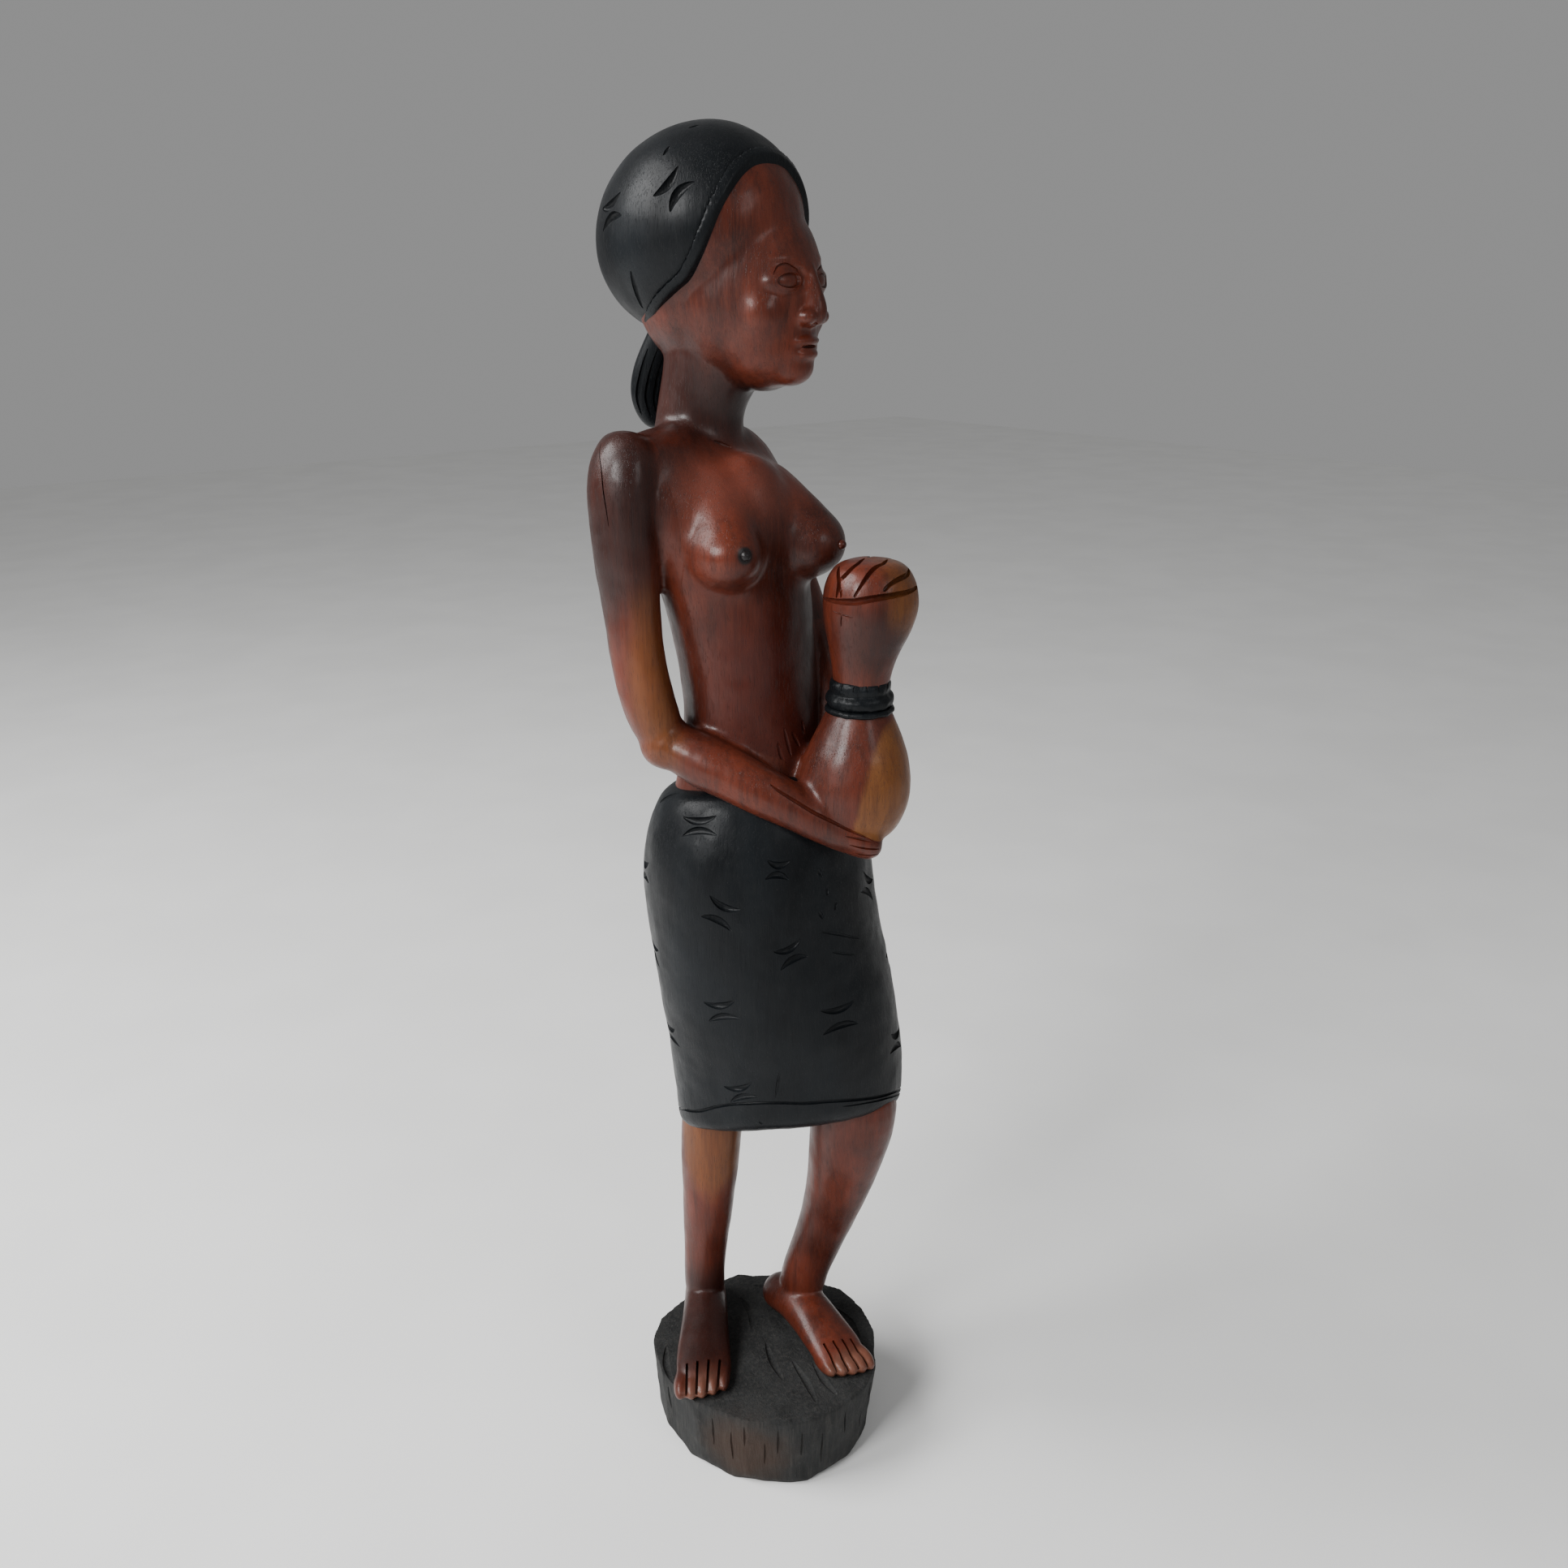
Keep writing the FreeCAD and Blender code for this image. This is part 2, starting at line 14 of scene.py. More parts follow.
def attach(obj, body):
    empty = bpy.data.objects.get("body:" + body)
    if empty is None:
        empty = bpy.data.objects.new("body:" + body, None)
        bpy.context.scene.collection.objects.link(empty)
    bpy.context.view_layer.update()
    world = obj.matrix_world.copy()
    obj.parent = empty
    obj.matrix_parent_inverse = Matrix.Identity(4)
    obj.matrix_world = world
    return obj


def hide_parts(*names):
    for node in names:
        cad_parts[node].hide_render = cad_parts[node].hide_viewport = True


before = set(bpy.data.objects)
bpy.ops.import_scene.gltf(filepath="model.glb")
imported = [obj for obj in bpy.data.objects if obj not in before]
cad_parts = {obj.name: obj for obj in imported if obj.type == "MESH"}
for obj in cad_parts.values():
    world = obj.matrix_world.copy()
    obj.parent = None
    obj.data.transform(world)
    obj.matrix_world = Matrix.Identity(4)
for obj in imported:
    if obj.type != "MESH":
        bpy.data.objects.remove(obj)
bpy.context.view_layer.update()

# ------------------------------------------------------------------ viewpoint
# The figure is seen from its front right, from about its own height away and level with its head, so the
# block is seen from well above.

MM = 0.001
bpy.ops.object.camera_add(
    location=(-276.9 * MM, -343.05 * MM, 407 * MM),
    rotation=(math.radians(90 - 19.31), 0, math.radians(-40)),
)
camera = bpy.context.object
camera.data.sensor_width = 36
camera.data.lens = 33.07
camera.data.clip_start = 0.01
bpy.context.scene.camera = camera

# ------------------------------------------------------------------ block
# The foot of the log, left under the feet as a stand. It was chopped to shape with a few strokes of a
# broad chisel, so it has flat facets with torn fibres, and it was stained but never sanded or polished.


def deselect():
    """Nothing is selected, so that the next operator acts on the new piece only."""
    bpy.ops.object.select_all(action="DESELECT")


def finish_modifier(piece, kind, **settings):
    """Adds a modifier with its settings and applies it."""
    modifier = piece.modifiers.new(kind.title(), kind)
    for name, value in settings.items():
        setattr(modifier, name, value)
    with bpy.context.temp_override(object=piece, active_object=piece, selected_objects=[piece]):
        bpy.ops.object.modifier_apply(modifier=modifier.name)


def turn_square(along, across):
    """The rotation that stands a ring square to a line, with its wide side along another direction."""
    z_axis = Vector(along).normalized()
    x_axis = (Vector(across) - z_axis * Vector(across).dot(z_axis)).normalized()
    return Matrix((x_axis, z_axis.cross(x_axis), z_axis)).transposed()


def skin(name, rings, sides=24, rounding=2):
    """A closed skin over oval rings. A ring is (centre in mm, rotation, wide radius, deep radius)."""
    deselect()
    bpy.ops.mesh.primitive_circle_add(vertices=sides, radius=MM)
    piece = bpy.context.object
    bpy.ops.object.mode_set(mode="EDIT")
    bpy.ops.mesh.delete(type="VERT")
    for centre, rotation, wide, deep in rings:
        place = Vector(centre) * MM
        bpy.ops.mesh.primitive_circle_add(
            vertices=sides, radius=wide * MM, location=place, rotation=rotation.to_euler()
        )
        bpy.ops.transform.resize(
            value=(1, deep / wide, 1),
            orient_type="GLOBAL",
            orient_matrix=rotation,
            orient_matrix_type="GLOBAL",
            center_override=place,
        )
    bpy.ops.mesh.select_all(action="SELECT")
    bpy.ops.mesh.bridge_edge_loops()
    bpy.ops.mesh.select_all(action="SELECT")
    bpy.ops.mesh.fill_holes(sides=0)
    bpy.ops.mesh.normals_make_consistent(inside=False)
    bpy.ops.object.mode_set(mode="OBJECT")
    piece.name = name
    if rounding:
        finish_modifier(piece, "SUBSURF", levels=rounding, render_levels=rounding)
    return piece


def join(name, pieces):
    """Several pieces as one object, still overlapping."""
    deselect()
    for piece in pieces:
        piece.select_set(True)
    bpy.context.view_layer.objects.active = pieces[0]
    if len(pieces) > 1:
        bpy.ops.object.join()
    pieces[0].name = name
    return pieces[0]


def blend_in(piece, grain, passes, strength=0.5):
    """Overlapping forms become one skin of even mesh, sanded by a number of smoothing passes."""
    finish_modifier(piece, "REMESH", mode="VOXEL", voxel_size=grain * MM, use_smooth_shade=True)
    if passes:
        finish_modifier(piece, "SMOOTH", factor=strength, iterations=passes)


def cut_away(piece, cutters, operation="DIFFERENCE"):
    """Takes the joined cutters off a piece, or keeps what they share with it, and removes them."""
    tool = join("tool", cutters)
    finish_modifier(piece, "BOOLEAN", operation=operation, object=tool, solver="MANIFOLD")
    bpy.data.objects.remove(tool)


def slab(centre, size, turn=Matrix.Identity(3)):
    """A box used as a saw or a chisel: centre and size in mm."""
    deselect()
    bpy.ops.mesh.primitive_cube_add(size=MM, location=Vector(centre) * MM, rotation=turn.to_euler())
    box = bpy.context.object
    box.scale = size
    bpy.ops.object.transform_apply(location=True, rotation=True, scale=True)
    return box


def uneven(piece, depth, size):
    """The unevenness that hand tools leave: the skin wanders in and out by a depth over a size, in mm."""
    waves = bpy.data.textures.new("hand_work", "CLOUDS")
    waves.noise_scale = size * MM
    waves.noise_depth = 1
    finish_modifier(piece, "DISPLACE", texture=waves, strength=depth * MM, mid_level=0.5)


def on_skin(piece, place):
    """The nearest place on a piece's skin to a place in mm, and the direction straight out of it."""
    point, outward = piece.closest_point_on_mesh(Vector(place) * MM)[1:3]
    return point / MM, outward


def knife_line(piece, places, width, depth, ends=0.3, steps=3):
    """A thin spindle laid in the skin along some places. It cuts a line that gets finer towards its ends."""
    path = [Vector(places[0])]
    for start, end in zip(places, places[1:]):
        path += [Vector(start).lerp(Vector(end), (step + 1) / steps) for step in range(steps)]
    skin_places = [on_skin(piece, place) for place in path]
    last = len(path) - 1
    rings = []
    for number, (place, outward) in enumerate(skin_places):
        along = skin_places[min(number + 1, last)][0] - skin_places[max(number - 1, 0)][0]
        full = ends + (1 - ends) * math.sin(math.pi * number / last)
        rings.append((place, turn_square(along, outward.cross(along)), width / 2 * full, depth * full))
    return skin("knife_line", rings, sides=8, rounding=1)


def engrave(piece, lines, width, depth, apart=True, **options):
    """Cuts lines, each given by its places: all in one go if they stay apart, or one after the other."""
    if apart:
        cut_away(piece, [knife_line(piece, places, width, depth, **options) for places in lines])
    else:
        for places in lines:
            cut_away(piece, [knife_line(piece, places, width, depth, **options)])


def done(piece, node, material):
    """A finished piece: shaded, in its material, riding on the one body in the place of its node."""
    deselect()
    piece.select_set(True)
    bpy.context.view_layer.objects.active = piece
    bpy.ops.object.shade_smooth_by_angle(angle=math.radians(40))
    piece.data.materials.clear()
    piece.data.materials.append(material)
    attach(piece, "root")
    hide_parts(node)


def chop(piece, angle, reach, lean, height):
    """One flat stroke down the side: everything beyond a leaning plane falls off."""
    outward = Vector((math.cos(math.radians(angle)), math.sin(math.radians(angle)), 0))
    normal = (outward - Vector((0, 0, math.tan(math.radians(lean))))).normalized()
    point = (outward * reach + Vector((0, 0, height))) * MM
    deselect()
    piece.select_set(True)
    bpy.context.view_layer.objects.active = piece
    bpy.ops.object.mode_set(mode="EDIT")
    bpy.ops.mesh.select_all(action="SELECT")
    bpy.ops.mesh.bisect(plane_co=point, plane_no=normal, use_fill=True, clear_outer=True)
    bpy.ops.object.mode_set(mode="OBJECT")


def node(tree, kind, inputs=None, **settings):
    """A shader node with its settings and its inputs, which are values or links."""
    made = tree.nodes.new(kind)
    for name, value in settings.items():
        setattr(made, name, value)
    for socket, value in (inputs or {}).items():
        if isinstance(value, bpy.types.NodeSocket):
            tree.links.new(value, made.inputs[socket])
        else:
            made.inputs[socket].default_value = value
    return made


def new_finish(name):
    """An empty finish, its node tree, its surface shader, and the position on the object in mm."""
    finish = bpy.data.materials.new(name)
    finish.use_nodes = True
    tree = finish.node_tree
    place = node(tree, "ShaderNodeTexCoord").outputs["Object"]
    in_mm = node(tree, "ShaderNodeMapping", {"Vector": place, "Scale": (1000, 1000, 1000)}).outputs[0]
    return finish, tree, tree.nodes["Principled BSDF"], in_mm


def figure(tree, place, scale, stretch=(1, 1, 1), detail=3, roughness=0.55, distortion=0.0):
    """A cloudy pattern from 0 to 1: so many spots to the mm, drawn out where the stretch is under 1."""
    moved = node(tree, "ShaderNodeMapping", {"Vector": place, "Scale": stretch}).outputs[0]
    values = {
        "Vector": moved, "Scale": scale, "Detail": detail, "Roughness": roughness, "Distortion": distortion
    }
    return node(tree, "ShaderNodeTexNoise", values).outputs[0]


def ramp(tree, value, low, high, bottom=0.0, top=1.0):
    """A value brought from one range to another, eased and held at both ends."""
    values = {"Value": value, "From Min": low, "From Max": high, "To Min": bottom, "To Max": top}
    return node(tree, "ShaderNodeMapRange", values, interpolation_type="SMOOTHSTEP").outputs[0]


def mixed(tree, share, first, second):
    """Two colours mixed by a share."""
    mix = node(tree, "ShaderNodeMix", data_type="RGBA")
    for socket, value in ((0, share), (6, first), (7, second)):
        if isinstance(value, bpy.types.NodeSocket):
            tree.links.new(value, mix.inputs[socket])
        else:
            mix.inputs[socket].default_value = value if socket == 0 else (*value, 1)
    return mix.outputs[2]


def calculated(tree, how, *values):
    """Arithmetic on values or links."""
    return node(tree, "ShaderNodeMath", dict(enumerate(values)), operation=how).outputs[0]


def patch(tree, place, wander, centre, radii, turn=0, edge=0.25, roam=0.5):
    """A share that is 1 inside an egg-shaped region and fades out over its edge, which may roam."""
    values = {"Vector": place, "Location": centre, "Rotation": (0, 0, math.radians(turn)), "Scale": radii}
    inside = node(tree, "ShaderNodeMapping", values, vector_type="TEXTURE").outputs[0]
    reach = node(tree, "ShaderNodeVectorMath", {0: inside}, operation="LENGTH").outputs["Value"]
    reach = calculated(
        tree, "ADD", reach, calculated(tree, "MULTIPLY", calculated(tree, "SUBTRACT", wander, 0.5), roam)
    )
    return ramp(tree, reach, 1 + edge, 1 - edge)


def tinted(tree, colour, place, wander, regions, strength, tint):
    """A colour changed towards a tint, by a strength, inside each of some regions."""
    for region in regions:
        share = calculated(tree, "MULTIPLY", patch(tree, place, wander, *region), strength)
        colour = mixed(tree, share, colour, tint)
    return colour


def base_stain(name):
    """Thin black stain on rough-chopped wood: dull, patchy, with torn fibres and grey rubbed spots."""
    finish, tree, surface, place = new_finish(name)
    broad = figure(tree, place, 0.07, (1, 1, 0.7), 4, 0.6)
    fibres = figure(tree, place, 0.7, (1, 1, 0.1), 6, 0.7, 0.4)
    dust = figure(tree, place, 0.5, (1, 1, 0.7), 6, 0.75)
    wander = figure(tree, place, 0.2, (1, 1, 1), 4)
    colour = mixed(tree, ramp(tree, broad, 0.3, 0.7), (0.009, 0.0094, 0.0096), (0.02, 0.0208, 0.0206))
    colour = mixed(tree, ramp(tree, fibres, 0.42, 0.72, 0, 0.75), colour, (0.038, 0.036, 0.033))
    colour = mixed(tree, ramp(tree, dust, 0.58, 0.72, 0, 0.55), colour, (0.07, 0.069, 0.066))
    worn_through = ((-32, -26, 14), (17, 15, 13), 0, 0.5)
    colour = tinted(tree, colour, place, wander, [worn_through], 0.6, (0.052, 0.027, 0.016))
    tree.links.new(colour, surface.inputs["Base Color"])
    surface.inputs["Roughness"].default_value = 0.72
    surface.inputs["Specular IOR Level"].default_value = 0.25
    height = calculated(tree, "ADD", fibres, calculated(tree, "MULTIPLY", dust, 0.5))
    bump = node(tree, "ShaderNodeBump", {"Height": height, "Strength": 0.8, "Distance": 0.0009})
    tree.links.new(bump.outputs[0], surface.inputs["Normal"])
    return finish


deselect()
bpy.ops.mesh.primitive_cylinder_add(vertices=64, radius=48 * MM, depth=32 * MM, location=(0, 0, 14 * MM))
block = bpy.context.object
bpy.ops.object.transform_apply(location=True, rotation=True, scale=True)
STROKES = (
    (-4, 43.5, 6), (24, 41.5, 5), (50, 40, 8), (78, 40, 6), (104, 40, 7), (130, 41, 4), (156, 39, 5),
    (182, 37.2, 5), (203, 37, 5), (226, 39.4, 6), (245, 41.8, 5), (259, 42.2, 4), (276, 42.8, 5),
    (299, 43.4, 7), (318, 42.4, 7), (338, 43, 5),
)
for angle, reach, lean in STROKES:
    chop(block, angle, reach, lean, 30)
for angle, reach in (
    (170, 36), (196, 35.5), (222, 37), (240, 40), (268, 40.5), (292, 41), (318, 40.5), (90, 36)
):
    chop(block, angle, reach, 30, 4)
block.name = "base_block"
blend_in(block, 0.9, 2)
uneven(block, 0.9, 8)
cut_away(block, [slab((0, 0, -10), (200, 200, 20))])
torn_fibres = [
    [(-4, -36, 30), (0, -26, 30), (3, -14, 30)], [(4, -38, 30), (5, -30, 30), (8, -20, 30)],
    [(-6, -20, 30), (-3, -10, 30), (2, 0, 30)], [(2, 8, 30), (8, 16, 30), (10, 26, 30)],
    [(30, -22, 30), (34, -12, 30), (34, 0, 30)], [(-38, 4, 30), (-34, 14, 30), (-28, 22, 30)],
    [(28, 10, 30), (24, 20, 30), (18, 28, 30)],
]
engrave(block, torn_fibres, 3.2, 0.9)
split_fibres = []
for angle, top, bottom in (
    (-158, 25, 12), (-147, 22, 8), (-139, 27, 17), (-128, 20, 9), (-121, 27, 15), (-109, 25, 14),
    (-98, 22, 7),
    (-84, 26, 16), (-71, 21, 9), (-60, 26, 12), (-47, 24, 15), (-33, 22, 8), (-10, 26, 13), (20, 24, 9),
    (48, 26, 14),
    (80, 22, 8), (112, 25, 13), (140, 23, 9), (168, 26, 15),
):
    x, y = 40 * math.cos(math.radians(angle)), 40 * math.sin(math.radians(angle))
    split_fibres.append([(x, y, top), (x * 0.99, y, (top + bottom) / 2), (x * 0.97, y * 0.97, bottom)])
engrave(block, split_fibres, 1.1, 0.7)
done(block, "base_block", base_stain("base_stain"))

# ------------------------------------------------------------------ legs and feet
# The right foot is turned out and the left knee is bent forward under the skirt. Shin and foot are one
# carving, parted at the ankle. The toes are divided by knife cuts, and the wood is waxed to a shine.


def limb(name, stations, across=(1, 0, 0), **options):
    """A skin over rings that stand square to the line through their centres: (x, y, z, wide, deep)."""
    centres = [Vector(station[:3]) for station in stations]
    rings = []
    for number, station in enumerate(stations):
        before = centres[max(number - 1, 0)]
        after = centres[min(number + 1, len(centres) - 1)]
        rings.append((station[:3], turn_square(after - before, across), *station[3:]))
    return skin(name, rings, **options)


def egg(name, centre, radii, turn=Matrix.Identity(3)):
    """An ellipsoid: its centre and three radii in mm, and its rotation."""
    deselect()
    bpy.ops.mesh.primitive_uv_sphere_add(
        segments=48, ring_count=24, radius=MM, location=Vector(centre) * MM, rotation=turn.to_euler()
    )
    piece = bpy.context.object
    piece.scale = radii
    bpy.ops.object.transform_apply(location=True, rotation=True, scale=True)
    piece.name = name
    return piece


def copy_of(piece, name):
    """A second piece with its own mesh."""
    twin = piece.copy()
    twin.data = piece.data.copy()
    twin.name = name
    bpy.context.collection.objects.link(twin)
    return twin


def part_off(whole, name, *boxes):
    """The region of a carving inside one or more boxes becomes a piece of its own; the rest stays."""
    saw = slab(*boxes[0])
    for box in boxes[1:]:
        cut_away(saw, [slab(*box)], "UNION")
    region = copy_of(whole, name)
    cut_away(region, [copy_of(saw, "saw")], "INTERSECT")
    cut_away(whole, [saw])
    return region


def heartwood(name, sapwood=(), dark=(), tints=(), spots=(), paleness=0.88):
    """The waxed wood of the figure, with regions of sapwood, darkened regions, other tints and black spots.
    Some darkened regions are darker wood and some are painted shade, and some tints are painted highlights.
    """
    finish, tree, surface, place = new_finish(name)
    broad = figure(tree, place, 0.05, (1, 1, 0.45), 4)
    streaks = figure(tree, place, 0.42, (1, 1, 0.05), 5, 0.6, 0.3)
    fine = figure(tree, place, 1.9, (1, 1, 0.035), 4, 0.65)
    pores = figure(tree, place, 3.4, (1, 1, 0.07), 2, 0.5)
    wander = figure(tree, place, 0.11, (1, 1, 0.5), 3)
    pore_share = ramp(tree, pores, 0.4, 0.3)
    colour = mixed(tree, ramp(tree, broad, 0.3, 0.7), (0.032, 0.0068, 0.0042), (0.105, 0.0195, 0.009))
    colour = mixed(tree, ramp(tree, streaks, 0.38, 0.75, 0, 0.6), colour, (0.019, 0.0052, 0.0038))
    colour = mixed(tree, ramp(tree, fine, 0.4, 0.75, 0, 0.35), colour, (0.115, 0.027, 0.0125))
    # Other tints; those at the toe tips are painted highlights.
    for region, tint in tints:
        colour = tinted(tree, colour, place, wander, [region], 0.62, tint)
    # Darkened regions: darker wood in some places, painted shade under the jaw and the head in others.
    colour = tinted(tree, colour, place, wander, dark, 0.72, (0.012, 0.0048, 0.0042))
    tan = mixed(tree, ramp(tree, streaks, 0.3, 0.72), (0.17, 0.062, 0.015), (0.115, 0.039, 0.011))
    tan = mixed(tree, ramp(tree, fine, 0.4, 0.75, 0, 0.35), tan, (0.21, 0.082, 0.022))
    colour = tinted(tree, colour, place, wander, sapwood, paleness, tan)
    colour = mixed(tree, calculated(tree, "MULTIPLY", pore_share, 0.4), colour, (0.008, 0.0034, 0.0028))
    colour = tinted(tree, colour, place, wander, spots, 1, (0.008, 0.006, 0.006))
    tree.links.new(colour, surface.inputs["Base Color"])
    rubbed = figure(tree, place, 0.16, (1, 1, 0.6), 4)
    tree.links.new(ramp(tree, rubbed, 0.3, 0.75, 0.3, 0.48), surface.inputs["Roughness"])
    surface.inputs["Specular IOR Level"].default_value = 0.25
    surface.inputs["Coat Weight"].default_value = 0.1
    surface.inputs["Coat Roughness"].default_value = 0.16
    height = calculated(
        tree, "SUBTRACT", calculated(tree, "MULTIPLY", fine, 0.25),
        calculated(tree, "MULTIPLY", pore_share, 0.5)
    )
    height = calculated(
        tree, "ADD", height, calculated(tree, "MULTIPLY", figure(tree, place, 0.5, (1, 1, 0.3), 3), 0.9)
    )
    bump = node(tree, "ShaderNodeBump", {"Height": height, "Strength": 0.5, "Distance": 0.00022})
    tree.links.new(bump.outputs[0], surface.inputs["Normal"])
    return finish


right_leg = [
    limb(
        "right_shin_form",
        [
            (-4.8, 28.6, 35, 8, 8), (-4.8, 28.6, 48, 7, 8.4), (-4.6, 28, 61, 7.6, 9),
            (-4, 26.5, 80, 8.8, 10.4),
            (-3.5, 25.5, 100, 10.4, 11.6), (-2.8, 24.6, 116, 11.2, 12), (-1.6, 23.8, 128, 10.6, 11.4),
            (0, 22, 138, 8, 9),
        ],
    ),
    limb(
        "right_foot_form",
        [
            (3, 39, 34.5, 6, 6), (-2, 32, 37.5, 8, 8.6), (-9, 22.5, 37.5, 8.2, 8),
            (-17, 12.5, 35.5, 9.2, 6.2),
            (-25, 2.5, 33.6, 10.4, 4.8), (-32, -6, 32, 10, 3.8),
        ],
    ),
]
left_leg = [
    limb(
        "left_shin_form",
        [
            (21.5, 4, 36, 8.6, 9), (23.5, 3, 51, 8, 8.8), (26, -2, 66, 8, 9.6), (27.8, -7.5, 84, 9.2, 11.2),
            (28.2, -12.5, 102, 11.8, 13.6), (28.4, -17, 122, 14.6, 16), (29, -20, 146, 15, 16),
        ],
    ),
    limb(
        "left_foot_form",
        [
            (19.5, 19, 33, 6, 5.4), (20.5, 11, 37, 8.2, 8.4), (20, 0, 38.5, 8.8, 8.4),
            (18.6, -12, 36, 9.4, 6.8),
            (17, -22, 34, 10, 5), (15.5, -30.5, 32.5, 9.4, 3.8),
        ],
    ),
]


def add_toes(name, middle, heading, reach):
    """Five toe tips across the end of a foot, from the little toe to the big one."""
    forward = Vector((math.cos(math.radians(heading)), math.sin(math.radians(heading)), 0))
    inward = Vector((forward.y, -forward.x, 0)) * reach
    tips = []
    for number in range(5):
        across = number / 2 - 1
        place = Vector(middle) + inward * across * 0.8 + forward * (-1.6 + 2 * across - 1.2 * across**2)
        radii = (7, 2.1 + 0.16 * number, 2.9 + 0.14 * number)
        tips.append(egg(f"{name}_{number}", place, radii, Matrix.Rotation(math.radians(heading), 3, "Z")))
    return tips


def toe_cuts(middle, heading, reach, fall):
    """Four knife cuts between the toes, each a thin saw that goes down with the slope of the foot."""
    forward = Vector((math.cos(math.radians(heading)), math.sin(math.radians(heading)), 0))
    inward = Vector((forward.y, -forward.x, 0)) * reach
    cuts = []
    for across in (-0.6, -0.2, 0.2, 0.58):
        place = Vector(middle) + inward * across - forward * (2.5 - 2.2 * across)
        tilt = Matrix.Rotation(math.radians(heading + 4 * across), 3, "Z") @ Matrix.Rotation(
            math.radians(fall), 3, "Y"
        )
        cuts.append(slab(place + forward * 1.4 + Vector((0, 0, 3.5)), (12, 0.9, 4.4), tilt))
    return cuts


RIGHT_TOES = ((-31.5, -5, 32), -130, 9.6)
LEFT_TOES = ((15.6, -30.5, 32), -98, -9)
right_leg += add_toes("right_toe", *RIGHT_TOES)
left_leg += add_toes("left_toe", *LEFT_TOES)
right_leg = join("right_leg", right_leg)
left_leg = join("left_leg", left_leg)
for leg in (right_leg, left_leg):
    blend_in(leg, 0.7, 6)
    uneven(leg, 0.7, 16)
cut_away(right_leg, toe_cuts(*RIGHT_TOES, 14))
cut_away(left_leg, toe_cuts(*LEFT_TOES, 14))
for leg in (right_leg, left_leg):
    cut_away(leg, [slab((0, 0, 0), (200, 200, 59))])
right_foot = part_off(right_leg, "right_foot", ((0, 0, 23), (200, 200, 46)))
left_foot = part_off(left_leg, "left_foot", ((0, 0, 23), (200, 200, 46)))
right_leg.name = "right_shin"
left_leg.name = "left_shin"

# One log gives all the bare wood, so its grain and its regions of other tints run on from part to part. The
# two dark regions round the neck are painted shade under the jaw and the head.
plain_wood = heartwood(
    "heartwood", dark=[((-4, 30, 372), (26, 26, 17), 0, 0.4), ((16, 14, 372), (14, 14, 10), 0, 0.5)]
)
shin_wood = heartwood(
    "heartwood_right_shin",
    sapwood=[((-9, 16, 118), (14, 13, 28), 0, 0.2)],
    dark=[((-18, 12, 44), (26, 30, 12), 0, 0.5)],
    paleness=0.6,
)
# The pale grey tints at the toe tips of both feet are painted highlights.
foot_wood = heartwood(
    "heartwood_foot",
    dark=[((-18, 12, 44), (26, 30, 12), 0, 0.5)],
    tints=[
        (((-34, -8, 31), (13, 7, 6), 40, 0.5), (0.16, 0.07, 0.045)),
        (((15, -33, 32), (13, 6, 6), 0, 0.5), (0.16, 0.07, 0.045))
    ],
)
for piece, part, wood in (
    (right_foot, "right_foot", foot_wood), (left_foot, "left_foot", foot_wood),
    (right_leg, "right_shin", shin_wood), (left_leg, "left_shin", plain_wood),
):
    done(piece, part, wood)

# ------------------------------------------------------------------ wrap skirt
# The cloth is carved as one smooth form with a rolled waist and a hem marked off by a knife line. It was
# stained black and polished, after pairs of curved cuts had been pressed into it with a gouge.

HEM_SLOPE = Vector((0.18, 0.37, 1))
WAIST_SLOPE = Vector((0, 0.18, 1))


def black_stain(name):
    """Black stain rubbed over with wax: the grain still shows, and worn places are a little grey."""
    finish, tree, surface, place = new_finish(name)
    broad = figure(tree, place, 0.045, (1, 1, 0.5), 4)
    fibres = figure(tree, place, 1.1, (1, 1, 0.045), 5, 0.65)
    pores = figure(tree, place, 3.2, (1, 1, 0.08), 2)
    specks = figure(tree, place, 1.4, (1, 1, 1), 3, 0.6)
    colour = mixed(tree, ramp(tree, broad, 0.3, 0.72), (0.0028, 0.0034, 0.0042), (0.0066, 0.0082, 0.0098))
    colour = mixed(tree, ramp(tree, fibres, 0.45, 0.8, 0, 0.55), colour, (0.0095, 0.0102, 0.011))
    colour = mixed(tree, ramp(tree, specks, 0.66, 0.8, 0, 0.6), colour, (0.04, 0.037, 0.035))
    tree.links.new(colour, surface.inputs["Base Color"])
    rubbed = figure(tree, place, 0.12, (1, 1, 0.6), 5)
    tree.links.new(ramp(tree, rubbed, 0.3, 0.75, 0.32, 0.5), surface.inputs["Roughness"])
    surface.inputs["Specular IOR Level"].default_value = 0.12
    surface.inputs["Coat Weight"].default_value = 0.06
    surface.inputs["Coat Roughness"].default_value = 0.2
    height = calculated(
        tree, "SUBTRACT", calculated(tree, "MULTIPLY", fibres, 0.7),
        calculated(tree, "MULTIPLY", ramp(tree, pores, 0.42, 0.3), 0.5)
    )
    bump = node(tree, "ShaderNodeBump", {"Height": height, "Strength": 0.55, "Distance": 0.0003})
    tree.links.new(bump.outputs[0], surface.inputs["Normal"])
    return finish


